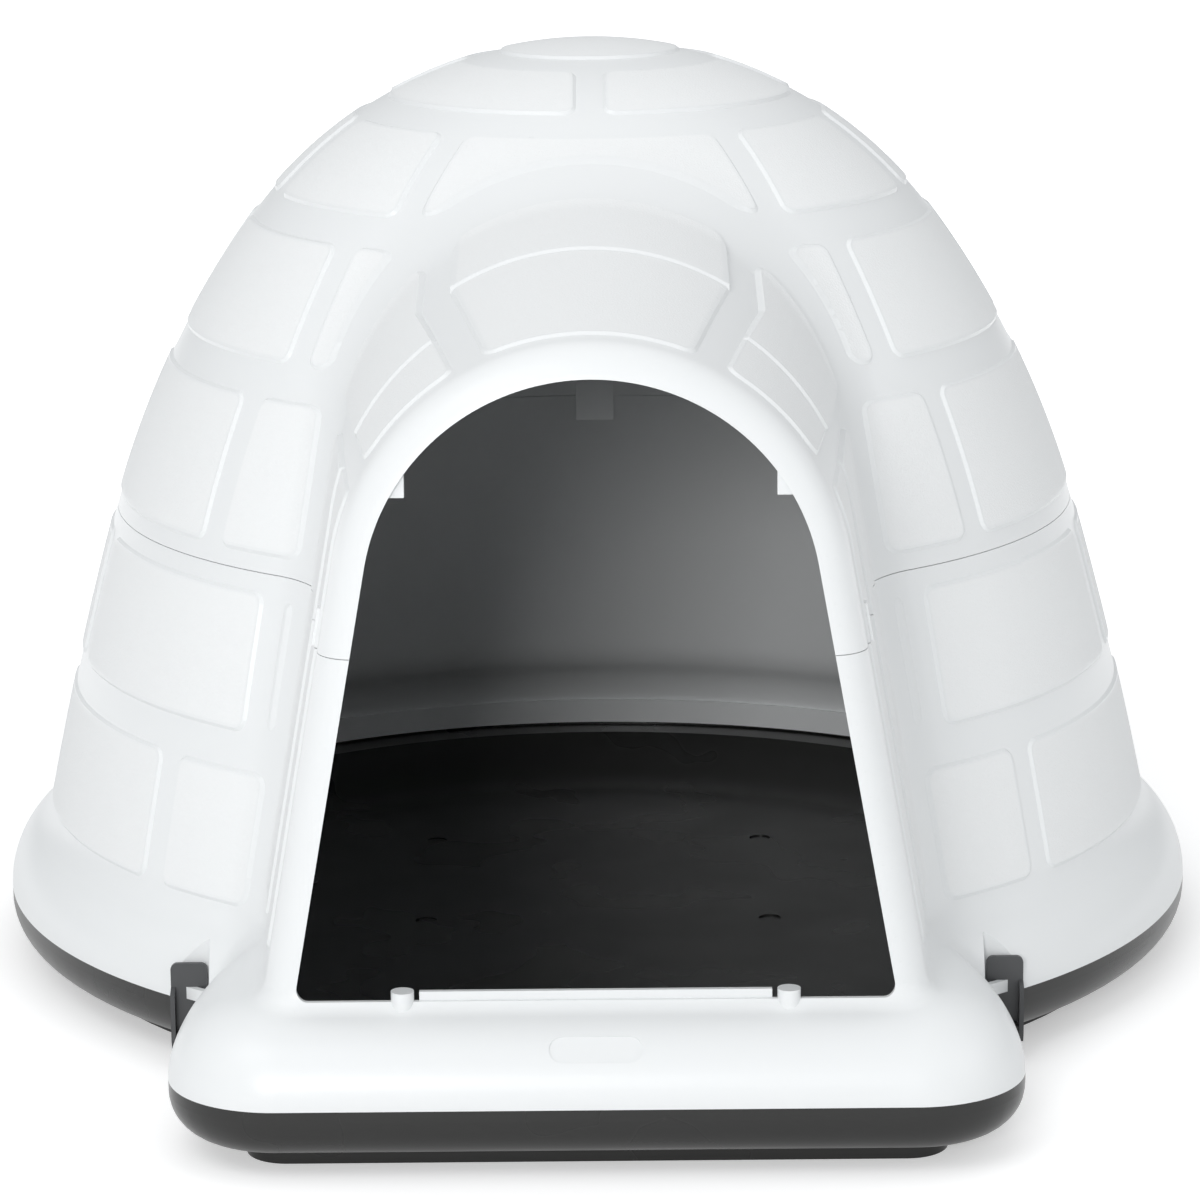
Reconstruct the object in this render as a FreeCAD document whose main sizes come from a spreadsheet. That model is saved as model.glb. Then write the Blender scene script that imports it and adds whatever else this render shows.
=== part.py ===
import FreeCAD, Part

import math
import os

import Sketcher
from FreeCAD import Placement, Rotation, Vector

# Igloo dog house. Millimetres, +Z up, the entrance faces -Y. The origin lies on the dome's own
# vertical axis, on the ground.

SIZES = [
    # overall form
    ("skirt_radius", 473.4, "outer radius of the skirt and of the pan below it"),
    ("skirt_round", 60.0, "radius of the skirt's bulging shoulder"),
    ("skirt_turn", 50.0, "slope of the shoulder where it turns hollow, degrees from vertical"),
    ("skirt_blend", 46.0, "hollow radius between the shoulder and the dome wall"),
    ("wall_lean", 11.7, "lean of the dome wall at its foot, degrees from vertical"),
    ("rim_height", 52.0, "height of the joint between pan and lower shell"),
    ("shell_wall", 4.0, "wall of both white shells"),
    # dome wall: two arcs and a round crown, each tangent to the one before
    ("side_radius", 3070.0, "arc of the wall above its foot"),
    ("side_end", 16.1, "lean of the wall where that arc ends, degrees from vertical"),
    ("shoulder_radius", 721.0, "arc of the dome's shoulder"),
    ("shoulder_end", 36.1, "lean where the shoulder runs into the crown, degrees from vertical"),
    # ring grooves between the rows of blocks, at their middles
    ("ring_six_height", 229.0, "between the sixth and fifth row"),
    ("seam_height", 355.5, "under row four, with the joint between the lower and upper shell"),
    ("ring_four_height", 487.5, "between the fourth and third row"),
    ("ring_three_height", 594.0, "between the third and second row"),
    ("ring_two_height", 668.0, "between the second and first row"),
    ("ring_one_height", 704.0, "round the cap"),
    # raised blocks
    ("relief", 2.0, "height of the blocks above the grooves"),
    ("relief_root", 1.5, "depth to which a block is rooted in the wall"),
    ("ring_groove", 29.0, "width of the ring grooves along the wall"),
    ("spoke_groove", 22.5, "width of the upright grooves and of those along the tunnel"),
    ("smooth_band", 35.0, "smooth band behind the tunnel's front plane"),
    ("crown_step", 357.0, "step between the two blocks on the tunnel's back, from the dome axis"),
    ("crown_half_width", 98.0, "half width of the rear one of them"),
    ("crown_taper", 28.0, "by which the front one narrows on each side"),
    ("flank_step", 440.0, "step between the blocks on the tunnel's flanks, from the dome axis"),
    ("flank_groove", 475.0, "height of the groove between the upper and lower flank blocks"),
    ("flank_foot", 140.0, "lower end of the flank blocks"),
    # entrance tunnel
    ("tunnel_front", 558.0, "distance of the tunnel's front plane from the dome axis"),
    ("tunnel_lean", 10.15, "lean of the jambs, degrees from vertical"),
    ("front_arch_radius", 177.2, "outer arch of the tunnel at its front plane"),
    ("front_arch_height", 387.0, "height of that arch's centre"),
    ("inner_arch_radius", 193.5, "outer arch of the tunnel at the dome axis"),
    ("inner_arch_height", 474.5, "height of that arch's centre"),
    ("tunnel_round", 25.0, "rounding round the door opening"),
    ("crease_round", 30.0, "hollow rounding between the tunnel and the dome"),
    ("door_arch_radius", 155.0, "arch of the door opening"),
    ("door_arch_height", 391.0, "height of that arch's centre"),
    ("sill_height", 115.0, "lower edge of the door opening"),
    ("sill_corner", 8.0, "corner radius of the opening at the sill"),
    # porch
    ("porch_front", 606.0, "distance of the porch's front from the dome axis"),
    ("porch_half_width", 298.0, "half of the porch's greatest width"),
    ("porch_corner", 80.0, "plan radius of the porch's front corners"),
    ("porch_waist", 440.0, "plan radius of the porch's sides, drawn in towards the dome"),
    # base pan
    ("pan_round", 30.0, "rounding of the pan's lower edge"),
    ("pan_bottom", 14.0, "height of the pan's underside round the plinth"),
    ("plinth_radius", 430.0, "foot plinth under the dome"),
    ("plinth_half_width", 244.0, "foot plinth under the porch"),
    ("plinth_front", 565.0, "front of the foot plinth"),
    ("plinth_corner", 30.0, "plan radius of the plinth's front corners"),
    ("floor_thickness", 5.0, "floor above the ground"),
    ("floor_radius", 357.0, "flat floor, where its rising border starts"),
    ("ledge_radius", 437.0, "inner edge of the ledge that the lower shell's lip stands over"),
    ("ledge_height", 38.0, "height of that ledge"),
    ("pan_rim", 4.1, "thickness of the pan's rim outside the lip"),
    ("porch_floor_inset", 50.0, "porch floor's side from the outside"),
    ("porch_floor_round", 45.0, "rounding between the porch floor and its sides"),
    ("recess_radius", 9.0, "round recesses in the floor"),
    ("recess_depth", 1.2, ""),
    ("recess_side", 139.5, "recess centres from the middle"),
    ("recess_rear", 202.0, "rear recess centres behind the dome axis"),
    ("recess_front", 27.0, "front recess centres before the dome axis"),
    # seating of the lower shell in the pan
    ("lip_drop", 12.0, "depth of the lower shell's lip inside the pan's rim"),
    ("lip_thickness", 3.4, ""),
    ("lip_clearance", 0.5, "gap between lip and rim"),
    # seating of the upper shell on the lower shell
    ("seam_lip_height", 8.0, "tongue of the lower shell inside the upper shell"),
    ("seam_lip_depth", 2.3, "outer face of the tongue, measured in from the outside of the shells"),
    ("seam_clearance", 0.7, "gap between the two shells along the seam and its tongue"),
    ("snap_width", 33.0, "moulded snap tab inside the back of the seam"),
    ("snap_thickness", 3.5, ""),
    ("snap_drop", 13.0, "reach of the snap tab below the seam"),
    ("snap_root", 22.0, "height of the snap tab above the seam"),
    ("side_snap_length", 10.0, "snap boss on each side of the tunnel, along the tunnel"),
    ("side_snap_height", 26.0, ""),
    ("side_snap_proud", 4.0, ""),
    ("side_snap_place", 512.0, "distance of the snap bosses from the dome axis"),
    # door posts and the bare label recess
    ("post_radius", 8.0, "door posts on the sill"),
    ("post_side", 132.5, "door posts from the middle"),
    ("post_top", 122.0, ""),
    ("sill_lip", 6.0, "raised lip of the sill between the posts"),
    ("sill_lip_side", 121.0, "end of the lip from the middle"),
    ("label_length", 64.0, "bare obround recess on the porch shoulder"),
    ("label_width", 19.0, ""),
    ("label_depth", 1.2, ""),
    ("label_slope", 50.0, "slope of the shoulder under the recess, degrees from level"),
    # clips and their seats
    ("clip_side", 299.0, "front clips from the middle"),
    ("clip_wall", 355.0, "back wall of the front clip pockets from the dome axis"),
    ("rear_clip_angle", 135.0, "rear clips round the dome, degrees from the entrance"),
    ("rear_clip_wall", 451.0, "back wall of the rear clip pockets from the dome axis"),
    ("pocket_width", 32.0, "clip pocket in pan and lower shell"),
    ("pocket_reach", 72.0, "reach of the pocket's side walls before its back wall"),
    ("pocket_top", 104.0, "upper end of the pocket's walls"),
    ("clip_width", 27.0, ""),
    ("clip_plate", 3.3, "thickness of the clip's plate and flanges"),
    ("clip_gap", 3.0, "gap between the closed clip and the pocket's back wall"),
    ("clip_top", 79.0, "height of the closed clip's upper end"),
    ("clip_corner", 5.0, "rounded upper corners of the clip"),
    ("flange_depth", 8.0, "clip's side flanges before its plate"),
    ("flange_top", 61.0, "height of the flanges' upper end"),
    ("flange_slope", 4.0, "slanted end of the flanges"),
    ("hinge_height", 22.0, "clip's hinge axis above the ground"),
    ("hinge_reach", 11.0, "clip's hinge axis before the pocket's back wall"),
    ("hinge_radius", 3.4, "clip's trunnions"),
    ("hinge_clearance", 0.1, "gap between trunnion and lug bore, all round"),
    ("hinge_length", 6.0, "trunnion length inside the lug"),
    ("lug_radius", 6.5, "pan lug round the hinge axis"),
    ("lug_clearance", 0.5, "gap between the lug and the clip's flanges and plate"),
    ("lug_root", 25.0, "depth of the lug's root behind the pocket's back wall"),
    ("window_width", 15.0, "window in the pocket's back wall, which takes the clip's tooth"),
    ("window_low", 61.7, "lower edge of the window"),
    ("window_high", 71.0, "upper edge of the window"),
    ("tooth_width", 12.0, ""),
    ("tooth_height", 4.5, ""),
    ("tooth_reach", 2.0, "reach of the tooth's tip behind the pocket's wall face"),
    ("tooth_clearance", 0.3, "gap between the tooth and the window's lower edge"),
]

doc = FreeCAD.newDocument("DogHouse")
sheet = doc.addObject("Spreadsheet::Sheet", "Sizes")
for line, (alias, value, note) in enumerate(SIZES, start=1):
    sheet.set("A%d" % line, alias)
    sheet.set("B%d" % line, str(value))
    sheet.set("C%d" % line, note)
    sheet.setAlias("B%d" % line, alias)
doc.recompute()


def size(alias):
    """A driving dimension, read from the sheet."""
    return float(sheet.get(alias))


def radians(alias):
    return math.radians(size(alias))


UP = Vector(0, 0, 1)
ORIGIN = Vector(0, 0, 0)
BELOW = 30.0  # lower end of solids that are trimmed afterwards
BEYOND = 800.0  # half size of trimming slabs


def line(start, end):
    return Part.makeLine(start, end)


def arc(start, middle, end):
    return Part.Arc(start, middle, end).toShape()


def face_of(edges):
    return Part.Face(Part.Wire(Part.__sortEdges__(edges)))


def slab(low, high):
    """A wide flat block between two heights."""
    return Part.makeBox(2 * BEYOND, 2 * BEYOND, high - low, Vector(-BEYOND, -BEYOND, low))


def box(x_low, x_high, y_low, y_high, z_low, z_high):
    corner = Vector(x_low, y_low, z_low)
    return Part.makeBox(x_high - x_low, y_high - y_low, z_high - z_low, corner)


# ---------------------------------------------------------------- envelope of the white shells


def wall_foot():
    """Foot of the dome wall: where the skirt's hollow blend ends, worked back from its radius."""
    lean, turn = radians("wall_lean"), radians("skirt_turn")
    out = size("skirt_round") * (1 - math.cos(turn))
    out += size("skirt_blend") * (math.cos(lean) - math.cos(turn))
    rise = size("skirt_round") * math.sin(turn)
    rise += size("skirt_blend") * (math.sin(turn) - math.sin(lean))
    return Vector(size("skirt_radius") - out, 0, size("rim_height") + rise)


def outward(lean):
    """Outward direction of a wall that leans in by this angle, in the XZ plane."""
    return Vector(math.cos(lean), 0, math.sin(lean))


def wall_arcs(inset):
    """The dome's section from foot to crown as arcs: centre, radius, first lean, last lean."""
    point, lean = wall_foot(), radians("wall_lean")
    arcs = []
    for part in ("side", "shoulder"):
        radius, end = size(part + "_radius"), radians(part + "_end")
        centre = point - outward(lean) * radius
        arcs.append((centre, radius - inset, lean, end))
        point, lean = centre + outward(end) * radius, end
    radius = point.x / math.cos(lean)
    centre = Vector(0, 0, point.z - radius * math.sin(lean))
    arcs.append((centre, radius - inset, lean, math.pi / 2))
    return arcs


def wall_edges(inset):
    edges = []
    for centre, radius, start, end in wall_arcs(inset):
        points = [centre + outward(lean) * radius for lean in (start, (start + end) / 2, end)]
        edges.append(arc(points[0], points[1], points[2]))
    return edges


def wall_point(height):
    """Point and outward normal of the wall's outside at a height."""
    for centre, radius, start, end in wall_arcs(0):
        if height <= centre.z + radius * math.sin(end):
            lean = math.asin((height - centre.z) / radius)
            return centre + outward(lean) * radius, outward(lean)
    raise ValueError("the wall does not reach %.1f mm" % height)


def crown_height():
    centre, radius, start, end = wall_arcs(0)[-1]
    return centre.z + radius


def dome(inset):
    """Solid dome, its wall carried straight down past the skirt."""
    lean = radians("wall_lean")
    foot = wall_foot() - outward(lean) * inset
    crown = Vector(0, 0, crown_height() - inset)
    low = Vector(foot.x + (foot.z - BELOW) * math.tan(lean), 0, BELOW)
    centre = Vector(0, 0, BELOW)
    section = wall_edges(inset) + [line(foot, low), line(low, centre), line(centre, crown)]
    return face_of(section).revolve(ORIGIN, UP, 360)


def arch_wire(y, radius, centre, low):
    """Arch on leaning jambs, closed along its foot."""
    lean = radians("tunnel_lean")
    side, spring = radius * math.cos(lean), centre + radius * math.sin(lean)
    foot = side + (spring - low) * math.tan(lean)
    left, right = Vector(-foot, y, low), Vector(foot, y, low)
    left_spring, right_spring = Vector(-side, y, spring), Vector(side, y, spring)
    crown = Vector(0, y, centre + radius)
    jambs = [line(left, left_spring), line(right_spring, right), line(right, left)]
    return Part.Wire(Part.__sortEdges__(jambs + [arc(left_spring, crown, right_spring)]))


def tunnel(inset):
    """Solid tunnel from its front plane to the dome axis."""
    front = inset - size("tunnel_front")
    front_wire = arch_wire(front, size("front_arch_radius") - inset, size("front_arch_height"), BELOW)
    inner_wire = arch_wire(0, size("inner_arch_radius") - inset, size("inner_arch_height"), BELOW)
    return Part.makeLoft([front_wire, inner_wire], True, True)


def rounded_tunnel(inset):
    """The tunnel with the rounding round its mouth."""
    solid = tunnel(inset)
    front = inset - size("tunnel_front")
    mouth = []
    for edge in solid.Edges:
        bounds = edge.BoundBox
        if bounds.YMax < front + 1e-3 and bounds.ZMax > BELOW + 1:
            mouth.append(edge)
    return solid.makeFillet(size("tunnel_round") - inset, mouth)


def touches(solid, point):
    return any(face.distToShape(point)[0] < 1e-3 for face in solid.Faces)


def rounded_core(inset):
    """Dome and tunnel joined with the hollow rounding along their crease."""
    round_part, arched_part = dome(inset), rounded_tunnel(inset)
    both = round_part.fuse(arched_part).removeSplitter()
    crease = []
    for edge in both.Edges:
        middle = edge.valueAt((edge.FirstParameter + edge.LastParameter) / 2)
        if middle.z < BELOW + 1:
            continue
        point = Part.Vertex(middle)
        if touches(round_part, point) and touches(arched_part, point):
            crease.append(edge)
    return both.makeFillet(size("crease_round") + inset, crease)


def skirt(inset):
    """Ring of the bulging skirt round the dome's foot."""
    bite = 0.4  # the ring ends this far inside the wall, so that the two surfaces cross
    lean, turn = radians("wall_lean"), radians("skirt_turn")
    hollow, bulge = size("skirt_blend") + inset, size("skirt_round") - inset
    foot = wall_foot() - outward(lean) * inset - Vector(bite, 0, 0)

    def on_hollow(angle):
        out = hollow * (math.cos(lean) - math.cos(angle))
        return foot + Vector(out, 0, -hollow * (math.sin(angle) - math.sin(lean)))

    turning = on_hollow(turn)

    def on_bulge(angle):
        out = bulge * (math.cos(angle) - math.cos(turn))
        return turning + Vector(out, 0, -bulge * (math.sin(turn) - math.sin(angle)))

    outer = on_bulge(0)
    inner_radius = foot.x - 100
    corners = [outer, Vector(outer.x, 0, BELOW), Vector(inner_radius, 0, BELOW)]
    corners += [Vector(inner_radius, 0, foot.z), foot]
    edges = [line(a, b) for a, b in zip(corners, corners[1:])]
    edges.append(arc(foot, on_hollow((lean + turn) / 2), turning))
    edges.append(arc(turning, on_bulge(turn / 2), outer))
    return face_of(edges).revolve(ORIGIN, UP, 360)


def porch_face(inset, z):
    """Plan of the porch, its back end under the dome."""
    half, front = size("porch_half_width") - inset, inset - size("porch_front")
    corner, waist = size("porch_corner") - inset, size("porch_waist") - inset
    corner_x, corner_y = half - corner, front + corner
    waist_x = half - waist
    back = corner_y + 0.5 * waist
    middle = corner_y + 0.25 * waist
    diagonal = corner * math.sqrt(0.5)
    edges = [line(Vector(-corner_x, front, z), Vector(corner_x, front, z))]
    for side in (-1, 1):
        tip = Vector(side * corner_x, front, z)
        turn = Vector(side * (corner_x + diagonal), corner_y - diagonal, z)
        widest = Vector(side * half, corner_y, z)
        edges.append(arc(tip, turn, widest))
        points = []
        for y in (middle, back):
            x = waist_x + math.sqrt(waist ** 2 - (y - corner_y) ** 2)
            points.append(Vector(side * x, y, z))
        edges.append(arc(widest, points[0], points[1]))
    edges.append(line(Vector(-points[1].x, back, z), points[1]))
    return face_of(edges)


def porch(inset):
    """Porch block with the skirt's shoulder along its top edge."""
    top = size("rim_height") + size("skirt_round") - inset
    solid = porch_face(inset, BELOW).extrude(UP * (top - BELOW))
    back = max(vertex.Y for vertex in solid.Vertexes)
    shoulder = []
    for edge in solid.Edges:
        bounds = edge.BoundBox
        if bounds.ZMin > top - 1e-3 and bounds.YMin < back - 1:
            shoulder.append(edge)
    return solid.makeFillet(size("skirt_round") - inset, shoulder)


def envelope(inset, low):
    """Solid bounded by the shells' surface set in by inset, down to the height low."""
    solid = rounded_core(inset).fuse([skirt(inset), porch(inset)])
    return solid.common(slab(low, BEYOND)).removeSplitter()


# ---------------------------------------------------------------- blocks in relief


def ring_block(low, high):
    """Unbroken ring of blocks between two heights of the wall."""
    outer, inner = [], []
    for height in (low, (low + high) / 2, high):
        point, normal = wall_point(height)
        outer.append(point + normal * size("relief"))
        inner.append(point - normal * size("relief_root"))
    edges = [arc(outer[0], outer[1], outer[2]), arc(inner[0], inner[1], inner[2])]
    edges += [line(outer[0], inner[0]), line(outer[2], inner[2])]
    return face_of(edges).revolve(ORIGIN, UP, 360)


def spokes(angles):
    """Upright slabs that cut the grooves between the blocks of one row."""
    half = size("spoke_groove") / 2
    cutters = []
    for angle in angles:
        cutter = box(-half, half, -BEYOND, 0, 0, BEYOND)
        cutter.rotate(ORIGIN, UP, angle)
        cutters.append(cutter)
    return cutters


def mirrored(angles):
    """Angles on both sides of the entrance; a groove at the back counts once."""
    return [a for a in angles] + [-a for a in angles if 0 < a < 180]


def row_edges(ring):
    """Heights at which the blocks above and below a ring groove start and end."""
    height = size(ring + "_height")
    normal = wall_point(height)[1]
    half = size("ring_groove") / 2 * normal.x
    return height - half, height + half


def evenly(first, second, count):
    """Groove angles: one beside the entrance, then even steps round to the back."""
    step = (180 - second) / (count - 0.5)
    return [first] + [second + step * i for i in range(count)]


def evenly_closed(first, count):
    """As above, with a groove at the very back."""
    step = (180 - first) / count
    return [first + step * i for i in range(count + 1)]


def dome_blocks():
    """Blocks of the six rows and the cap, trimmed where the tunnel comes out of the dome."""
    six = row_edges("ring_six")
    seam = row_edges("seam")
    four = row_edges("ring_four")
    three = row_edges("ring_three")
    two = row_edges("ring_two")
    one = row_edges("ring_one")
    foot = wall_foot().z
    rows = [
        (foot, six[0], mirrored(evenly_closed(49.3, 3))),
        (six[1], seam[0], mirrored(evenly(37.4, 77.5, 3))),
        (seam[1], four[0], mirrored(evenly_closed(49.2, 3))),
        (four[1], three[0], mirrored(evenly_closed(43.0, 3))),
        (three[1], two[0], mirrored(evenly(33.3, 76.7, 3))),
        (two[1], one[0], mirrored([0.0, 90.0, 180.0])),
    ]
    margin = tunnel(-3.0)
    blocks = []
    for low, high, angles in rows:
        blocks += ring_block(low, high).cut(spokes(angles) + [margin]).Solids
    return blocks


def cap_block():
    """Round block on the crown."""
    rim = wall_point(row_edges("ring_one")[1])[0]
    core = Part.makeCylinder(rim.x, BEYOND, Vector(0, 0, size("seam_height")))
    return dome(-size("relief")).cut(dome(size("relief_root"))).common(core)


def plan_prism(points):
    """Upright prism over a plan outline."""
    corners = [Vector(x, y, BELOW) for x, y in points]
    edges = [line(a, b) for a, b in zip(corners, corners[1:] + corners[:1])]
    return face_of(edges).extrude(UP * BEYOND)


def tunnel_blocks():
    """Blocks of the tunnel: two on its back and, on each flank, two above and two below a groove."""
    front, rear = size("tunnel_front") - size("smooth_band"), 180.0
    crown_step, flank_step = size("crown_step"), size("flank_step")
    seam = size("seam_height")
    skin_root = tunnel(size("relief_root"))
    shallow = tunnel(-size("relief")).cut(skin_root)
    deep = tunnel(-2 * size("relief")).cut(skin_root)

    def groove_edge(y, outer):
        """Edge of the lengthwise groove beside the crown blocks, from the middle."""
        run = (max(y, crown_step) - crown_step) / (front - crown_step)
        inner = size("crown_half_width") - run * size("crown_taper")
        return inner + outer * size("spoke_groove")

    def zone(side, outer, start, end):
        """Plan of the tunnel between two distances, on one side of the lengthwise groove."""
        near, far = groove_edge(start, outer), groove_edge(end, outer)
        if outer:
            corners = [(side * near, -start), (side * BEYOND, -start)]
            return plan_prism(corners + [(side * BEYOND, -end), (side * far, -end)])
        return plan_prism([(-near, -start), (near, -start), (far, -end), (-far, -end)])

    blocks = [shallow.common(zone(1, 0, front, crown_step)), deep.common(zone(1, 0, crown_step, rear))]
    levels = [
        slab(size("flank_groove") + size("spoke_groove") / 2, BEYOND),
        slab(seam + size("seam_clearance"), size("flank_groove") - size("spoke_groove") / 2),
        slab(size("flank_foot"), seam),
    ]
    for side in (-1, 1):
        for level in levels:
            blocks.append(shallow.common(zone(side, 1, front, flank_step)).common(level))
            blocks.append(deep.common(zone(side, 1, flank_step, rear)).common(level))
    margin = dome(-3.0)
    pieces = []
    for block in blocks:
        pieces += block.cut(margin).Solids
    return pieces


# ---------------------------------------------------------------- clip sites


def clip_sites():
    """Placement of each clip's pocket: its origin on the back wall at ground level, -Y outwards."""
    rear = size("rear_clip_angle")
    sites = {}
    for name, side in (("left", -1), ("right", 1)):
        place = Vector(side * size("clip_side"), -size("clip_wall"), 0)
        sites["front_%s_clip" % name] = Placement(place, Rotation(UP, 0))
        turn = Rotation(UP, side * rear)
        place = turn.multVec(Vector(0, -size("rear_clip_wall"), 0))
        sites["rear_%s_clip" % name] = Placement(place, turn)
    return sites


def at_site(shape, placement):
    placed = shape.copy()
    placed.Placement = placement.multiply(placed.Placement)
    return placed


def pocket_box(grow, low, high):
    """Room of one pocket, grown into its back and side walls."""
    half = size("pocket_width") / 2 + grow
    return box(-half, half, -size("pocket_reach"), grow, low, high)


def pockets(grow, low, high):
    return [at_site(pocket_box(grow, low, high), site) for site in clip_sites().values()]


# ---------------------------------------------------------------- lower shell


def door_prism():
    """Room cut out of the tunnel's front wall."""
    front = -size("tunnel_front") - 30
    wire = arch_wire(front, size("door_arch_radius"), size("door_arch_height"), size("sill_height"))
    prism = Part.Face(wire).extrude(Vector(0, 70, 0))
    corners = []
    for edge in prism.Edges:
        bounds = edge.BoundBox
        if bounds.ZMax < size("sill_height") + 1e-3 and bounds.XLength < 1e-3:
            corners.append(edge)
    return prism.makeFillet(size("sill_corner"), corners)


def lower_lip():
    """Lip under the lower shell's edge, inside the pan's rim."""
    clearance, thick = size("lip_clearance"), size("lip_thickness")
    outer = size("pan_rim") + clearance
    rim = size("rim_height")
    low = rim - size("lip_drop")
    rise = 9.0

    def ring(from_inset, to_inset, bottom, top):
        solids = []
        for inset in (from_inset, to_inset):
            disc = Part.makeCylinder(size("skirt_radius") - inset, top - bottom, Vector(0, 0, bottom))
            block = porch_face(inset, bottom).extrude(UP * (top - bottom))
            solids.append(disc.fuse(block))
        return solids[0].cut(solids[1])

    root = size("shell_wall") - 1.0
    lip = ring(outer, outer + thick, low, rim + 1).fuse(ring(root, outer + thick, rim, rim + rise))
    return lip.cut(pockets(size("shell_wall") + clearance, BELOW, rim))


def clip_window():
    """Cutter for the window in a pocket's back wall, which takes the clip's tooth."""
    half = size("window_width") / 2
    return box(-half, half, -1, size("shell_wall") + 2, size("window_low"), size("window_high"))


def sill_fittings():
    """Door posts on the sill and the lip between them."""
    front, low = size("tunnel_front"), size("sill_height") - 8
    parts = []
    for side in (-1, 1):
        foot = Vector(side * size("post_side"), -front, low)
        parts.append(Part.makeCylinder(size("post_radius"), size("post_top") - low, foot))
    half = size("sill_lip_side")
    top = size("sill_height") + size("sill_lip")
    parts.append(box(-half, half, -front + 1, -front + size("shell_wall") + 1, low, top))
    return parts


def label_recess():
    """Cutter for the bare obround recess on the porch shoulder."""
    slope = radians("label_slope")
    bulge = size("skirt_round")
    y = bulge - size("porch_front") - bulge * math.sin(slope)
    z = size("rim_height") + bulge * math.cos(slope)
    radius = size("label_width") / 2
    half = size("label_length") / 2 - radius
    tall = 10.0
    body = box(-half, half, -radius, radius, -size("label_depth"), tall)
    ends = []
    for side in (-1, 1):
        foot = Vector(side * half, 0, -size("label_depth"))
        ends.append(Part.makeCylinder(radius, tall + size("label_depth"), foot))
    cutter = body.fuse(ends)
    cutter.rotate(ORIGIN, Vector(1, 0, 0), size("label_slope"))
    cutter.translate(Vector(0, y, z))
    return cutter


def seam_tongue(skin, inner):
    """Tongue that stands up from the lower shell inside the upper shell."""
    root = size("seam_height") - 6
    top = size("seam_height") + size("seam_lip_height")
    return skin.common(slab(root, top)).cut(inner)


# ---------------------------------------------------------------- upper shell


def back_snap():
    """Snap tab inside the back of the seam: rooted in the upper shell, hanging inside the lower."""
    half, seam = size("snap_width") / 2, size("seam_height")
    low, high = seam - size("snap_drop"), seam + size("snap_root")
    free = seam + size("seam_lip_height") + 1
    thick = size("snap_thickness")
    point, normal = wall_point(free)
    face = (point - normal * size("shell_wall")).x - size("seam_clearance")
    face -= half ** 2 / (2 * face)
    hanging = box(-half, half, face - thick, face, low, high)
    root = box(-half, half, face - thick, face + 6, free, high)
    return hanging.fuse(root)


def side_snaps(skin):
    """Snap bosses on the flanks of the tunnel, just above the seam."""
    low = size("seam_height") + size("seam_clearance")
    middle, half = size("side_snap_place"), size("side_snap_length") / 2
    zone = box(-BEYOND, BEYOND, -middle - half, -middle + half, low, low + size("side_snap_height"))
    return skin.common(zone).Solids


# ---------------------------------------------------------------- base pan


def pan_outside():
    """Outer form of the pan with its rounded lower edge, and the plinth that it stands on."""
    low, high = size("pan_bottom"), size("rim_height")
    round_part = Part.makeCylinder(size("skirt_radius"), high - low, Vector(0, 0, low))
    lower_edge = [e for e in round_part.Edges if e.BoundBox.ZMax < low + 1e-3 and e.Closed]
    round_part = round_part.makeFillet(size("pan_round"), lower_edge)
    porch_part = porch_face(0, low).extrude(UP * (high - low))
    back = max(vertex.Y for vertex in porch_part.Vertexes)
    lower_edge = []
    for edge in porch_part.Edges:
        bounds = edge.BoundBox
        if bounds.ZMax < low + 1e-3 and bounds.YMin < back - 1:
            lower_edge.append(edge)
    porch_part = porch_part.makeFillet(size("pan_round"), lower_edge)
    return round_part.fuse([porch_part] + plinth(low + 1))


def plinth(top):
    disc = Part.makeCylinder(size("plinth_radius"), top)
    half, front = size("plinth_half_width"), size("plinth_front")
    block = box(-half, half, -front, 0, 0, top)
    corners = []
    for edge in block.Edges:
        bounds = edge.BoundBox
        if bounds.ZLength > 1 and bounds.YMax < 1 - front:
            corners.append(edge)
    return [disc, block.makeFillet(size("plinth_corner"), corners)]


def pan_room():
    """Room inside the pan: flat floor, rising border, ledge, and the space inside the rim."""
    floor, ledge = size("floor_thickness"), size("ledge_height")
    top = size("rim_height") + 10
    start, end = size("floor_radius"), size("ledge_radius")
    run, rise = end - start, ledge - floor
    border = (run ** 2 + rise ** 2) / (2 * rise)
    half_turn = math.asin(run / border) / 2
    rim = size("skirt_radius") - size("pan_rim")
    middle = Vector(start + border * math.sin(half_turn), 0, floor + border * (1 - math.cos(half_turn)))
    corners = [Vector(end, 0, ledge), Vector(rim, 0, ledge), Vector(rim, 0, top)]
    corners += [Vector(0, 0, top), Vector(0, 0, floor), Vector(start, 0, floor)]
    edges = [line(a, b) for a, b in zip(corners, corners[1:])]
    edges.append(arc(corners[-1], middle, corners[0]))
    round_part = face_of(edges).revolve(ORIGIN, UP, 360)
    plan = porch_face(size("porch_floor_inset"), floor)
    back = max(vertex.Y for vertex in plan.Vertexes)
    half = max(vertex.X for vertex in plan.Vertexes if vertex.Y > back - 1)
    porch_part = plan.extrude(UP * (top - floor))
    porch_part = porch_part.fuse(box(-half, half, back, -half, floor, top)).removeSplitter()
    back = max(vertex.Y for vertex in porch_part.Vertexes)
    lower_edge = []
    for edge in porch_part.Edges:
        bounds = edge.BoundBox
        if bounds.ZMax < floor + 1e-3 and bounds.YMin < back - 1:
            lower_edge.append(edge)
    porch_part = porch_part.makeFillet(size("porch_floor_round") * 0.6, lower_edge)
    over_ledge = porch_face(size("pan_rim"), ledge).extrude(UP * (top - ledge))
    return round_part.fuse([porch_part, over_ledge])


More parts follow.
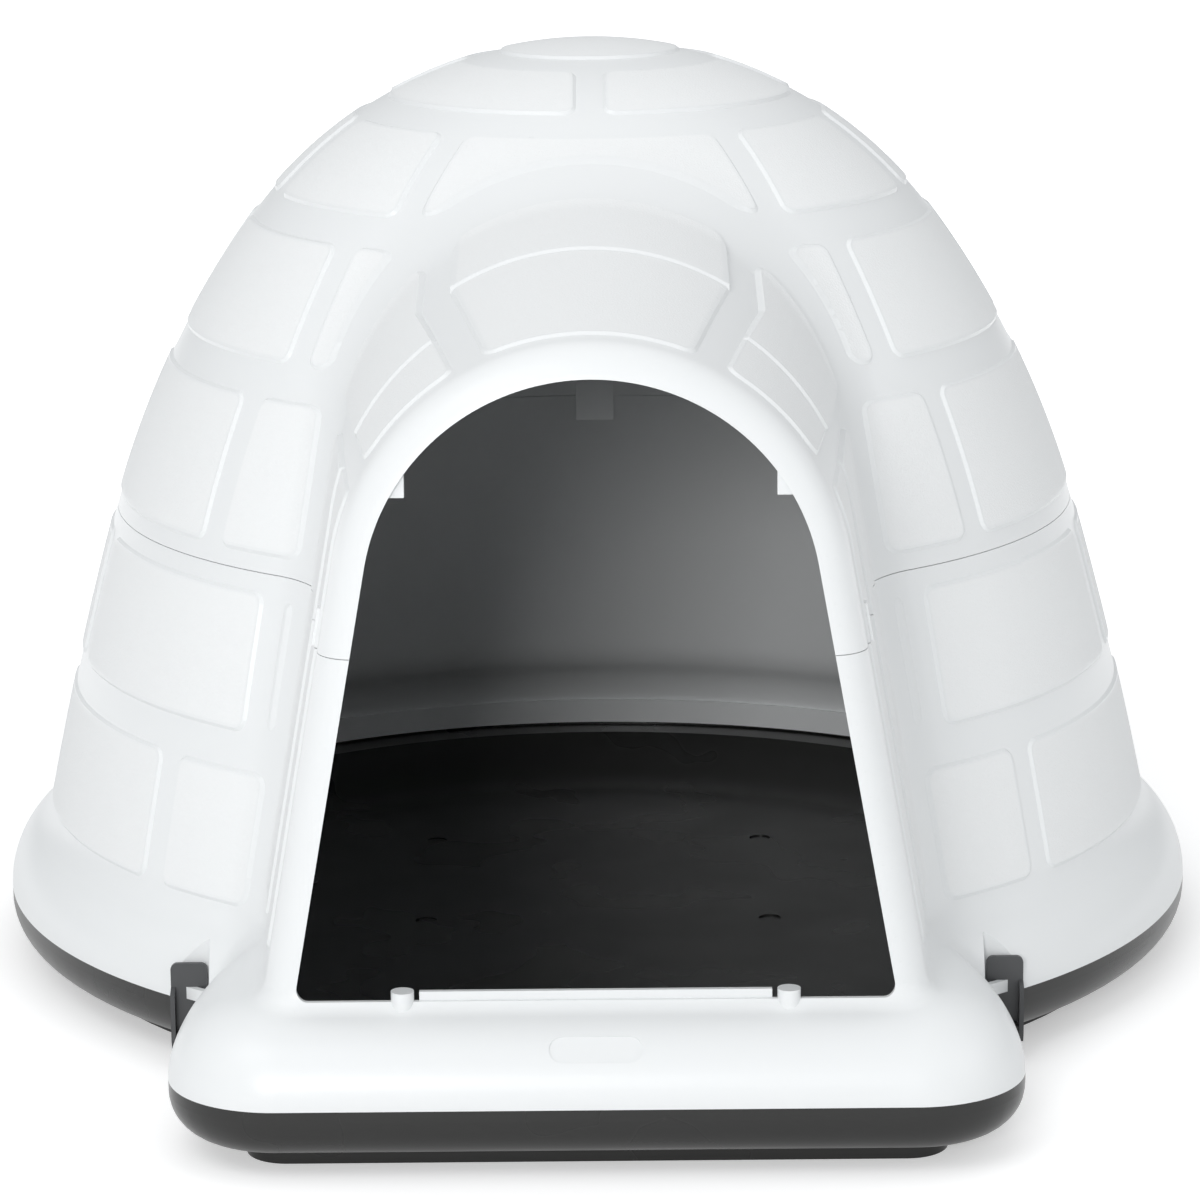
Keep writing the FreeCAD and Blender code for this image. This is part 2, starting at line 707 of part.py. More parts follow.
def floor_recesses():
    depth, floor = size("recess_depth"), size("floor_thickness")
    cutters = []
    for side in (-1, 1):
        for y in (size("recess_rear"), -size("recess_front")):
            foot = Vector(side * size("recess_side"), y, floor - depth)
            cutters.append(Part.makeCylinder(size("recess_radius"), depth + 1, foot))
    return cutters


def lug():
    """Lug in a clip pocket with the bore of the clip's hinge."""
    half = size("clip_width") / 2 - size("clip_plate") - size("lug_clearance")
    radius, reach, height = size("lug_radius"), size("hinge_reach"), size("hinge_height")
    start = Vector(-half, -reach, height)
    across = Vector(1, 0, 0)
    arm = box(-half, half, -reach, size("lug_root"), height - radius, height + radius)
    eye = Part.makeCylinder(radius, 2 * half, start, across)
    bore = Part.makeCylinder(size("hinge_radius") + size("hinge_clearance"), 2 * half, start, across)
    return arm.fuse(eye).cut(bore)


def base_pan():
    outside = pan_outside()
    wall = size("shell_wall")
    low, rim = size("pan_bottom"), size("rim_height")
    pocket_walls = [outside.common(room) for room in pockets(wall, low, rim)]
    pan = outside.cut([pan_room()] + floor_recesses()).fuse(pocket_walls)
    pan = pan.cut(pockets(0.0, -1, rim + 1))
    pan = pan.fuse([at_site(lug(), site) for site in clip_sites().values()])
    return pan.removeSplitter()


# ---------------------------------------------------------------- the two shells


def shells():
    """Upper and lower shell."""
    wall, seam, rim = size("shell_wall"), size("seam_height"), size("rim_height")
    gap, lip_depth = size("seam_clearance"), size("seam_lip_depth")
    outer, inner = envelope(0.0, rim), envelope(wall, BELOW)
    hollow = outer.cut(inner)
    pocket_walls = [outer.common(room) for room in pockets(wall, rim, size("pocket_top"))]
    all_blocks = dome_blocks() + tunnel_blocks()
    lower_blocks = [block for block in all_blocks if block.CenterOfMass.z < seam]
    upper_blocks = [block for block in all_blocks if block.CenterOfMass.z > seam] + [cap_block()]
    rooms = pockets(0.0, BELOW, 2 * size("pocket_top"))
    tongue = seam_tongue(envelope(lip_depth, BELOW), inner)
    windows = [at_site(clip_window(), site) for site in clip_sites().values()]
    lower = hollow.common(slab(rim, seam)).fuse(pocket_walls + [tongue, lower_lip()] + lower_blocks)
    lower = lower.cut([door_prism(), label_recess()] + rooms + windows).fuse(sill_fittings())

    groove = envelope(lip_depth - gap, BELOW).common(slab(seam, seam + size("seam_lip_height") + gap))
    upper = hollow.common(slab(seam + gap, BEYOND)).fuse(upper_blocks).cut([groove, door_prism()])
    boss = envelope(-size("side_snap_proud"), BELOW).cut(envelope(1.0, BELOW))
    upper = upper.fuse([back_snap()] + side_snaps(boss))
    return lower.removeSplitter(), upper.removeSplitter()


# ---------------------------------------------------------------- clips


def sketch_on(body, name, role, offset):
    """Sketch on one of the body's own origin planes, moved along its normal."""
    plane = [feature for feature in body.Origin.OriginFeatures if feature.Role == role][0]
    sketch = body.newObject("Sketcher::SketchObject", name)
    sketch.AttachmentSupport = (plane, [""])
    sketch.MapMode = "FlatFace"
    sketch.setExpression("AttachmentOffset.Base.z", offset)
    doc.recompute()
    return sketch


def fix_point(sketch, geometry, end, across, up):
    """Tie a point of the sketch to two expressions of the sheet."""
    for kind, expression in (("DistanceX", across), ("DistanceY", up)):
        value = float(sketch.evalExpression(expression))
        index = sketch.addConstraint(Sketcher.Constraint(kind, -1, 1, geometry, end, value))
        sketch.setExpression("Constraints[%d]" % index, expression)


def outline(sketch, corners):
    """Closed outline of straight edges; each corner is a pair of expressions of the sheet."""
    points = []
    for across, up in corners:
        x, y = sketch.evalExpression(across), sketch.evalExpression(up)
        points.append(Vector(float(x), float(y), 0))
    count = len(points)
    for i in range(count):
        sketch.addGeometry(Part.LineSegment(points[i], points[(i + 1) % count]), False)
    for i in range(count):
        sketch.addConstraint(Sketcher.Constraint("Coincident", i, 2, (i + 1) % count, 1))
        fix_point(sketch, i, 1, corners[i][0], corners[i][1])


def pad(body, name, sketch, length, side="One side", back=False):
    feature = body.newObject("PartDesign::Pad", name)
    feature.Profile = sketch
    feature.SideType = side
    feature.Reversed = back
    feature.setExpression("Length", length)
    doc.recompute()
    return feature


def mirror(body, name, feature):
    """The same feature on the other side of the clip's middle plane."""
    plane = [item for item in body.Origin.OriginFeatures if item.Role == "YZ_Plane"][0]
    copy = body.newObject("PartDesign::Mirrored", name)
    copy.Originals = [feature]
    copy.MirrorPlane = (plane, [""])
    body.Tip = copy
    doc.recompute()
    return copy


def clip(name, site):
    """Pivoting latch. Its own origin lies on the hinge axis; -Y points out of the pocket."""
    body = doc.addObject("PartDesign::Body", name)
    body.Label = name
    back = "Sizes.hinge_reach - Sizes.clip_gap"
    front = back + " - Sizes.clip_plate"
    lip = front + " - Sizes.flange_depth"
    clear = "Sizes.lug_radius + Sizes.lug_clearance"
    top = "Sizes.clip_top - Sizes.hinge_height"
    shoulder = "Sizes.flange_top - Sizes.hinge_height"
    half = "Sizes.clip_width / 2"

    plate = sketch_on(body, "plate_outline", "XZ_Plane", "-(%s)" % back)
    outline(plate, [("-" + half, clear), (half, clear), (half, top), ("-" + half, top)])
    solid = pad(body, "plate", plate, "Sizes.clip_plate")
    corners = []
    for number, edge in enumerate(solid.Shape.Edges, start=1):
        bounds = edge.BoundBox
        if bounds.YLength > 1 and bounds.ZMin > size("clip_top") - size("hinge_height") - 1:
            corners.append("Edge%d" % number)
    rounded = body.newObject("PartDesign::Fillet", "plate_corners")
    rounded.Base = (solid, corners)
    rounded.setExpression("Radius", "Sizes.clip_corner")
    doc.recompute()

    flange = sketch_on(body, "flange_outline", "YZ_Plane", half + " - Sizes.clip_plate")
    bottom = "-(%s) * 0.8" % back
    outline(flange, [(back, "0"), (back, shoulder), (front, shoulder),
                     (lip, shoulder + " - Sizes.flange_slope"), (lip, "0"),
                     (lip + " + 2", bottom), (back + " - 2", bottom)])
    mirror(body, "flanges", pad(body, "flange", flange, "Sizes.clip_plate"))

    pin = sketch_on(body, "trunnion_outline", "YZ_Plane", half + " - Sizes.clip_plate")
    pin.addGeometry(Part.Circle(ORIGIN, UP, size("hinge_radius")), False)
    pin.addConstraint(Sketcher.Constraint("Coincident", 0, 3, -1, 1))
    radius = pin.addConstraint(Sketcher.Constraint("Radius", 0, size("hinge_radius")))
    pin.setExpression("Constraints[%d]" % radius, "Sizes.hinge_radius")
    mirror(body, "trunnions", pad(body, "trunnion", pin, "Sizes.hinge_length", back=True))

    tooth = sketch_on(body, "tooth_outline", "YZ_Plane", "0")
    low = "Sizes.window_low + Sizes.tooth_clearance - Sizes.hinge_height"
    tip = "Sizes.hinge_reach + Sizes.tooth_reach"
    outline(tooth, [(back + " - 1", low), (tip, low), (tip, low + " + Sizes.tooth_height / 2"),
                    (back + " - 1", low + " + Sizes.tooth_height")])
    pad(body, "tooth", tooth, "Sizes.tooth_width", side="Symmetric")

    hinge = Vector(0, -size("hinge_reach"), size("hinge_height"))
    body.Placement = site.multiply(Placement(hinge, Rotation(UP, 0)))
    return body


# ---------------------------------------------------------------- the pieces


def moulding(name, shape):
    piece = doc.addObject("Part::Feature", name)
    piece.Label = name
    piece.Shape = shape
    piece.Placement = Placement(ORIGIN, Rotation(UP, 0))
    return piece


lower_shell, upper_shell = shells()
pieces = [
    moulding("base_pan", base_pan()),
    moulding("lower_shell", lower_shell),
    moulding("upper_shell", upper_shell),
]
pieces += [clip(name, site) for name, site in clip_sites().items()]
doc.recompute()

for item in doc.Objects:
    if "Invalid" in item.State or "Error" in item.State:
        raise RuntimeError("%s did not build: %s" % (item.Name, item.State))
for piece in pieces:
    if piece.Shape.isNull() or not piece.Shape.isValid() or len(piece.Shape.Solids) != 1:
        raise RuntimeError("%s is not one valid solid" % piece.Label)

os.makedirs("parts", exist_ok=True)
for piece in pieces:
    piece.Shape.exportStep(os.path.join("parts", piece.Label + ".step"))
    print("%-18s %9.1f cm3" % (piece.Label, piece.Shape.Volume / 1000))
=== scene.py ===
import math

import bmesh
import bpy
import numpy as np
from mathutils import Matrix, Vector


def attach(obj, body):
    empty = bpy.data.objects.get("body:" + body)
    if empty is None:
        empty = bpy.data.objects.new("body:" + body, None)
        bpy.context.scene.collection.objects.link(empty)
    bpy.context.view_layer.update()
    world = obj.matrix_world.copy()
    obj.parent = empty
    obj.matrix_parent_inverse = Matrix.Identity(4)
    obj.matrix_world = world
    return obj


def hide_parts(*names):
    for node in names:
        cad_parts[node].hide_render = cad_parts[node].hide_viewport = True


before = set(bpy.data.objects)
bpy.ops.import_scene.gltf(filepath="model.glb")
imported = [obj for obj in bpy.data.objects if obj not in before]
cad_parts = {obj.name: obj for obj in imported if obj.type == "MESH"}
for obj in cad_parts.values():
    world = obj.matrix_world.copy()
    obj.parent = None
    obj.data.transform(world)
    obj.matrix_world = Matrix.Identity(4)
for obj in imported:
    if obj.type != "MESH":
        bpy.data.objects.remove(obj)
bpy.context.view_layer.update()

scene = bpy.context.scene
scene.view_settings.view_transform = "Standard"

SOLVER = "MANIFOLD"
SKIN_CELL, INNER_CELL, BAND_CELL = (3.0), 8.0, 6.0  # sampling cells, in millimetres
SHARP_ANGLE = math.radians(22)


# ---------------------------------------------------------------- the white shells as one smooth form
# Lengths in this section are in millimetres until a mesh is made of them.

MM = 0.001
SKIRT_R, SKIRT_ROUND, SKIRT_BLEND = 473.4, 60.0, 46.0
SKIRT_TURN, WALL_LEAN = math.radians(50), math.radians(11.7)
RIM_Z, SEAM_Z, SEAM_GAP, WALL = 52.0, 355.5, 0.6, 4.0
SIDE_R, SIDE_END = 3070.0, math.radians(16.1)
SHOULDER_R, SHOULDER_END = 721.0, math.radians(36.1)
TUNNEL_FRONT, JAMB_LEAN = 558.0, math.radians(10.15)
FRONT_ARCH_R, FRONT_ARCH_Z = 177.2, 387.0
INNER_ARCH_R, INNER_ARCH_Z = 193.5, 474.5
TUNNEL_ROUND, CREASE_ROUND, DECK_ROUND = 25.0, 30.0, 12.0
PORCH_FRONT, PORCH_HALF, PORCH_CORNER, PORCH_WAIST = 606.0, 298.0, 80.0, 440.0
# The closed forms are cut off at FLOOR_Z and trimmed at the rim; CROWN_Z lies above the dome.
FLOOR_Z, CROWN_Z = 30.0, 800.0
RING_GROOVE, SPOKE_GROOVE, RELIEF, RELIEF_EDGE, BLOCK_CORNER = 29.0, 22.5, 2.0, 1.2, 9.0
SMOOTH_BAND, CROWN_STEP, CROWN_HALF, CROWN_TAPER = 35.0, 357.0, 98.0, 28.0
FLANK_STEP, FLANK_GROOVE_Z, FLANK_FOOT_Z, CREASE_MARGIN = 440.0, 475.0, 140.0, 17.0
# The lowest blocks start FOOT_DROP below the wall's foot; rows from TUNNEL_CLEAR_Z up pass over the tunnel.
FOOT_DROP, TUNNEL_CLEAR_Z = 4.0, 640.0
# The wall's arcs are looked for down to ARC_MARGIN below its foot.
ARC_MARGIN = 40.0
# Stand-ins for "in no block" and for "this spoke is on the other side of the axis".
IN_NO_BLOCK, FAR_AWAY = -99.0, 1000.0

# The sampling grid, its coarse boxes, and how many of these are sampled at once.
GRID_LOW, GRID_HIGH, GRID_TOP, GRID_MARGIN = (-490.0, -625.0), (490.0, 490.0), 735.0, 10.0
COARSE, COARSE_REACH, RELIEF_REACH, BOXES_AT_ONCE = 8, 0.95, 6.0, 600
# Steps that move the vertices onto the surface: probe length, longest move, least slopes, and counts.
PROBE, LONGEST_MOVE = 0.2, 4.0
LEAST_SLOPE, LEAST_EDGE_SLOPE, LEAST_NORMAL = 0.25, 0.3, 0.1
SMOOTH_MOVES, EDGE_MOVES, RELIEF_MOVES = 4, 3, 3


def round_max(a, b, r):
    """Distance field of an intersection whose edge is rounded."""
    return np.minimum(np.maximum(a, b), -r) + np.hypot(np.maximum(a + r, 0), np.maximum(b + r, 0))


def round_min(a, b, r):
    """Distance field of a union with a hollow fillet."""
    return np.maximum(np.minimum(a, b), r) - np.hypot(np.maximum(r - a, 0), np.maximum(r - b, 0))


def profile():
    """The dome's section: top of the skirt's bulge, centre of the hollow above it, wall's foot and arcs.

    The wall's three arcs are tangent, each as its centre, radius, start and end angle.
    """
    rise = SKIRT_ROUND * math.sin(SKIRT_TURN)
    turn_r = SKIRT_R - SKIRT_ROUND * (1 - math.cos(SKIRT_TURN))
    turn_z = RIM_Z + rise
    hollow = (turn_r + SKIRT_BLEND * math.cos(SKIRT_TURN), turn_z + SKIRT_BLEND * math.sin(SKIRT_TURN))
    foot = (hollow[0] - SKIRT_BLEND * math.cos(WALL_LEAN), hollow[1] - SKIRT_BLEND * math.sin(WALL_LEAN))
    arcs, (r, z), lean = [], foot, WALL_LEAN
    for radius, end in ((SIDE_R, SIDE_END), (SHOULDER_R, SHOULDER_END)):
        centre = (r - radius * math.cos(lean), z - radius * math.sin(lean))
        arcs.append((centre, radius, lean, end))
        r, z, lean = centre[0] + radius * math.cos(end), centre[1] + radius * math.sin(end), end
    radius = r / math.cos(lean)
    arcs.append(((0.0, z - radius * math.sin(lean)), radius, lean, math.pi / 2))
    return turn_z, hollow, foot, arcs


TURN_Z, HOLLOW, FOOT, ARCS = profile()


def dome_field(r, z):
    """Distance to the dome, its skirt included, in a plane through the axis."""
    bulge_r, hollow_r = SKIRT_R - SKIRT_ROUND, HOLLOW[0]
    up = np.clip((z - RIM_Z) / SKIRT_ROUND, 0, math.sin(SKIRT_TURN))
    bulge = (r - bulge_r - SKIRT_ROUND * np.sqrt(1 - up ** 2)) * np.sqrt(1 - up ** 2)
    down = np.clip((HOLLOW[1] - z) / SKIRT_BLEND, 0, math.sin(SKIRT_TURN))
    hollow = (r - hollow_r + SKIRT_BLEND * np.sqrt(1 - down ** 2)) * np.sqrt(1 - down ** 2)
    field = np.where(z < TURN_Z, bulge, hollow)
    for (cr, cz), radius, start, _ in ARCS:
        angle = np.arctan2(z - cz, r - cr)
        on_arc = (z > FOOT[1] - ARC_MARGIN) & (angle >= start)
        field = np.where(on_arc, np.hypot(r - cr, z - cz) - radius, field)
    return field


def run_up(r, z):
    """Length along the wall from its foot, less than zero below it."""
    total, run = 0.0, np.minimum(z - FOOT[1], 0) / math.cos(WALL_LEAN)
    for (cr, cz), radius, start, end in ARCS:
        angle = np.arctan2(z - cz, r - cr)
        here = (angle >= start) & (z > FOOT[1])
        run = np.where(here, total + (angle - start) * radius, run)
        total += (end - start) * radius
    return run


def run_at(height):
    """Length along the wall from its foot to a height on the wall."""
    total = 0.0
    for (_, cz), radius, start, end in ARCS:
        if height <= cz + radius * math.sin(end):
            return total + (math.asin((height - cz) / radius) - start) * radius
        total += (end - start) * radius


def tunnel_side(x, y, z):
    """Distance to the tunnel's arch and jambs, without its front."""
    share = (y + TUNNEL_FRONT) / TUNNEL_FRONT
    radius = FRONT_ARCH_R + share * (INNER_ARCH_R - FRONT_ARCH_R)
    centre = FRONT_ARCH_Z + share * (INNER_ARCH_Z - FRONT_ARCH_Z)
    side, up = np.abs(x), z - centre
    jamb = side * math.cos(JAMB_LEAN) + up * math.sin(JAMB_LEAN)
    return np.where(up < side * math.tan(JAMB_LEAN), jamb, np.hypot(side, up)) - radius


def porch_field(x, y, z):
    """Distance to the porch cover, with its waisted flanks and round corners and top edge."""
    side = np.abs(x)
    flank = np.hypot(side - (PORCH_HALF - PORCH_WAIST), y + PORCH_FRONT - PORCH_CORNER) - PORCH_WAIST
    flank = np.where(y < PORCH_CORNER - PORCH_FRONT, side - PORCH_HALF, flank)
    plan = round_max(flank, -y - PORCH_FRONT, PORCH_CORNER)
    return round_max(plan, z - RIM_Z - SKIRT_ROUND, SKIRT_ROUND)


def step(distance):
    """Soft step from 0 outside to 1 inside an edge."""
    share = np.clip(distance / (2 * RELIEF_EDGE) + 0.5, 0, 1)
    return share * share * (3 - 2 * share)


def inside(*distances):
    """Distance inside the edge of a block that is bounded by several lines, with round corners."""
    edge = -distances[0]
    for distance in distances[1:]:
        edge = round_max(edge, -distance, BLOCK_CORNER)
    return -edge


DOME_ROWS = [  # lower ring, upper ring, spoke grooves as degrees round from the entrance
    (None, 229.0, (49.3, 92.9, 136.4, 180)),
    (229.0, SEAM_Z, (37.4, 77.5, 118.5, 159.5)),
    (SEAM_Z, 487.5, (49.2, 92.8, 136.4, 180)),
    (487.5, 594.0, (43.0, 88.7, 134.3, 180)),
    (594.0, 668.0, (33.3, 76.7, 118.0, 159.3)),
    (668.0, 704.0, (0, 90, 180)),
    (704.0, None, ()),
]


def block_edges(x, y, z, dome, side):
    """How far each point lies inside a block's outline, and behind the step that halves a tunnel block."""
    r = np.hypot(x, y)
    run = run_up(r, z)
    round_from_door = np.arctan2(np.abs(x), -y)
    off_tunnel = side - CREASE_MARGIN
    outline, rise = np.full_like(x, IN_NO_BLOCK), np.full_like(x, IN_NO_BLOCK)
    for low, high, spokes in DOME_ROWS:
        bounds = [run - (run_at(low) + RING_GROOVE / 2 if low else -FOOT_DROP)]
        if high:
            bounds.append(run_at(high) - RING_GROOVE / 2 - run)
        for degrees in spokes:
            turn = round_from_door - math.radians(degrees)
            off_spoke = np.where(np.cos(turn) > 0, np.abs(r * np.sin(turn)), FAR_AWAY)
            bounds.append(off_spoke - SPOKE_GROOVE / 2)
        if low is None or low < TUNNEL_CLEAR_Z:
            bounds.append(off_tunnel)
        outline = np.maximum(outline, inside(*bounds))
    off_dome = dome - CREASE_MARGIN
    front = y + TUNNEL_FRONT - SMOOTH_BAND
    crown_step, flank_step = y + CROWN_STEP, y + FLANK_STEP
    taper = np.clip(-crown_step / (TUNNEL_FRONT - SMOOTH_BAND - CROWN_STEP), 0, 1)
    across = CROWN_HALF - CROWN_TAPER * taper
    beside = np.abs(x) - across - SPOKE_GROOVE
    above = z - FLANK_GROOVE_Z
    crown = inside(across - np.abs(x), front, off_dome)
    upper = inside(beside, above - SPOKE_GROOVE / 2, front, off_dome)
    lower = inside(-above - SPOKE_GROOVE / 2, z - FLANK_FOOT_Z, front, off_dome)
    for block, behind in ((crown, crown_step), (upper, flank_step), (lower, flank_step)):
        outline = np.maximum(outline, block)
        rise = np.where(block > 0, behind, rise)
    return outline, rise


def relief(outline, rise):
    """Height over the grooves; the rear half of a tunnel block stands one step higher."""
    return RELIEF * step(outline) * (1 + step(rise))


def shell_field(points, inset, with_relief=False, low=FLOOR_Z, high=CROWN_Z):
    """Signed distance to the shells' outside, set in by inset, between two heights; also the relief."""
    x, y, z = points.T
    dome = dome_field(np.hypot(x, y), z)
    side = tunnel_side(x, y, z)
    tunnel = np.maximum(round_max(side, -y - TUNNEL_FRONT, TUNNEL_ROUND), y)
    body = round_min(dome, tunnel, CREASE_ROUND)
    body = round_min(body, porch_field(x, y, z), DECK_ROUND)
    height = relief(*block_edges(x, y, z, dome, side)) if with_relief else np.zeros_like(x)
    return np.maximum(body + inset - height, np.maximum(low - z, z - high)), height


def surface_mesh(inset, with_relief, cell, low_z=FLOOR_Z, high_z=CROWN_Z):
    """Closed mesh of the shells' outside, its vertices moved onto the exact surface.

    It is made of quads, or of triangles when it has the relief.
    """
    def field(places, relieved=False):
        return shell_field(places, inset, relieved, low_z, high_z)

    low = np.array([*GRID_LOW, low_z - GRID_MARGIN])
    high = np.array([*GRID_HIGH, min(GRID_TOP, high_z + GRID_MARGIN)])
    shape = np.ceil((high - low) / (cell * COARSE)).astype(int) * COARSE + 1
    axes = [low[i] + cell * np.arange(shape[i]) for i in range(3)]
    values = np.full(shape, 1.0, np.float32)
    boxes = [np.arange(0, n - 1, COARSE) for n in shape]
    starts = np.stack(np.meshgrid(*[axes[i][boxes[i]] for i in range(3)], indexing="ij"), -1)
    centres = starts + cell * COARSE / 2
    far = field(centres.reshape(-1, 3))[0].reshape(centres.shape[:3])
    reach = cell * COARSE * COARSE_REACH + RELIEF_REACH

    # Coarse boxes away from the surface are filled whole, and only the others are sampled.
    for i, j, k in np.argwhere(np.abs(far) >= reach):
        if far[i, j, k] < 0:
            a, b, c = boxes[0][i], boxes[1][j], boxes[2][k]
            values[a:a + COARSE + 1, b:b + COARSE + 1, c:c + COARSE + 1] = -1
    near = np.argwhere(np.abs(far) < reach)
    offsets = np.stack(np.meshgrid(*[np.arange(COARSE + 1)] * 3, indexing="ij"), -1).reshape(-1, 3)
    for chunk in np.array_split(near, max(1, len(near) // BOXES_AT_ONCE)):
        cells = (chunk * COARSE)[:, None, :] + offsets[None]
        flat = cells.reshape(-1, 3)
        places = low + cell * flat
        values[flat[:, 0], flat[:, 1], flat[:, 2]] = field(places)[0]

    # Each cell that the surface passes through gets one vertex.
    solid = values < 0
    corners = [solid[i:shape[0] - 1 + i, j:shape[1] - 1 + j, k:shape[2] - 1 + k]
               for i in (0, 1) for j in (0, 1) for k in (0, 1)]
    count = sum(c.astype(np.int8) for c in corners)
    active = (count > 0) & (count < 8)
    index = np.full(active.shape, -1, np.int32)
    index[active] = np.arange(active.sum())
    points = low + cell * (np.argwhere(active) + 0.5)

    # Each grid edge that the surface crosses gets one quad, between the vertices of its four cells.
    quads = []
    for axis in range(3):
        one, two = [(1, 2), (2, 0), (0, 1)][axis]
        lower = [slice(1, -1)] * 3
        lower[axis] = slice(0, shape[axis] - 1)
        upper = list(lower)
        upper[axis] = slice(1, shape[axis])
        change = solid[tuple(lower)] != solid[tuple(upper)]
        inward = solid[tuple(lower)][change]
        at = np.argwhere(change)
        at[:, one] += 1
        at[:, two] += 1
        ring = []
        for d_one, d_two in ((0, 0), (-1, 0), (-1, -1), (0, -1)):
            cell_at = at.copy()
            cell_at[:, one] += d_one
            cell_at[:, two] += d_two
            ring.append(index[cell_at[:, 0], cell_at[:, 1], cell_at[:, 2]])
        ring = np.stack(ring, 1)
        ring[~inward] = ring[~inward][:, ::-1]
        quads.append(ring)
    quads = np.concatenate(quads)

    for _ in range(SMOOTH_MOVES):
        points = settle(points, field, False)
    if not with_relief:
        return points, quads
    for which in (0, 1):
        points = onto_block_edges(points, which, cell)
    for _ in range(RELIEF_MOVES):
        points = settle(points, field, True)
    return points, split_along_edges(points, quads)


def edges_at(points, which):
    """One of the two results of block_edges: 0 is the outline, 1 the step on a tunnel block."""
    x, y, z = points.T
    return block_edges(x, y, z, dome_field(np.hypot(x, y), z), tunnel_side(x, y, z))[which]


def slopes(points, value):
    """A function's values at the points, and its gradients there."""
    centre = value(points)
    ahead = [value(points + PROBE * np.eye(3)[axis]) for axis in range(3)]
    return centre, np.stack([(there - centre) / PROBE for there in ahead], 1)


def onto_block_edges(points, which, cell):
    """Slides the points beside a block's edge along the surface to the foot or the brow of its step."""
    near = np.flatnonzero(np.abs(edges_at(points, which)) < cell)
    places = points[near]
    target = np.copysign(RELIEF_EDGE, edges_at(places, which))
    for _ in range(EDGE_MOVES):
        normal = slopes(places, lambda p: shell_field(p, 0.0)[0])[1]
        normal /= np.maximum(np.linalg.norm(normal, axis=1), LEAST_NORMAL)[:, None]
        distance, slope = slopes(places, lambda p: edges_at(p, which))
        slope -= (slope * normal).sum(1)[:, None] * normal
        length = np.maximum((slope ** 2).sum(1), LEAST_EDGE_SLOPE)
        places = places + slope * (np.clip(target - distance, -cell, cell) / length)[:, None]
        value = shell_field(places, 0.0)[0]
        places = places - normal * value[:, None]
    points[near] = places
    return points


def split_along_edges(points, quads):
    """Triangles, cut so that a corner on another level than the rest of its quad gets one of its own."""
    stage = (edges_at(points, 0) > 0) * (1 + (edges_at(points, 1) > 0))
    one, two, three, four = stage[quads].T
    first_differs = (one != two) & (two == three) & (three == four)
    third_differs = (three != two) & (two == one) & (one == four)
    other = (first_differs | third_differs)[:, None]
    a, b, c, d = quads.T
    first = np.where(other, np.stack((a, b, d), 1), np.stack((a, b, c), 1))
    second = np.where(other, np.stack((b, c, d), 1), np.stack((a, c, d), 1))
    return np.concatenate((first, second))


def settle(points, field, relieved):
    """One Newton step of every point onto the surface, along the slope of the form without relief."""
    value, height = field(points, relieved)
    slope = np.zeros_like(points)
    for axis in range(3):
        shift = np.zeros(3)
        shift[axis] = PROBE
        slope[:, axis] = (field(points + shift)[0] - value - height) / PROBE
    length = np.maximum((slope ** 2).sum(1), LEAST_SLOPE)
    return points - slope * (np.clip(value, -LONGEST_MOVE, LONGEST_MOVE) / length)[:, None]


def mesh_object(name, points, faces):
    """Object from arrays in millimetres."""
    mesh = bpy.data.meshes.new(name)
    mesh.vertices.add(len(points))
    mesh.vertices.foreach_set("co", (points * MM).astype(np.float32).ravel())
    mesh.loops.add(faces.size)
    mesh.loops.foreach_set("vertex_index", faces.astype(np.int32).ravel())
    mesh.polygons.add(len(faces))
    sides = faces.shape[1]
    mesh.polygons.foreach_set("loop_start", np.arange(0, faces.size, sides, dtype=np.int32))
    mesh.update(calc_edges=True)
    mesh.validate()
    piece = bpy.data.objects.new(name, mesh)
    scene.collection.objects.link(piece)
    return piece


def prism(name, outline, along, start, end):
    """Closed prism over an outline: points across, extruded along an axis."""
    count = len(outline)
    points = np.zeros((2 * count, 3))
    across = [axis for axis in range(3) if axis != along]
    for layer, level in enumerate((start, end)):
        rows = slice(layer * count, (layer + 1) * count)
        points[rows, across[0]] = [p[0] for p in outline]
        points[rows, across[1]] = [p[1] for p in outline]
        points[rows, along] = level
    mesh = bpy.data.meshes.new(name)
    faces = [tuple(range(count)), tuple(range(2 * count - 1, count - 1, -1))]
    faces += [(i, i + count, (i + 1) % count + count, (i + 1) % count) for i in range(count)]
    mesh.from_pydata([tuple(p * MM) for p in points], [], faces)
    form = bmesh.new()
    form.from_mesh(mesh)
    bmesh.ops.recalc_face_normals(form, faces=form.faces)
    form.to_mesh(mesh)
    form.free()
    piece = bpy.data.objects.new(name, mesh)
    scene.collection.objects.link(piece)
    return piece


def block(name, low, high):
    """Box between two corners."""
    outline = [(low[0], low[1]), (high[0], low[1]), (high[0], high[1]), (low[0], high[1])]
    return prism(name, outline, 2, low[2], high[2])


def combine(piece, operation, tools, keep=False):
    """Applies one boolean after another to a piece."""
    for tool in tools:
        modifier = piece.modifiers.new("combine", "BOOLEAN")
        modifier.operation = operation
        modifier.solver = SOLVER
        modifier.object = tool
    bpy.context.view_layer.update()
    depsgraph = bpy.context.evaluated_depsgraph_get()
    mesh = bpy.data.meshes.new_from_object(piece.evaluated_get(depsgraph))
    piece.modifiers.clear()
    piece.data = mesh
    if not keep:
        for tool in tools:
            bpy.data.objects.remove(tool)
    return piece


# ---------------------------------------------------------------- the two shells as pieces

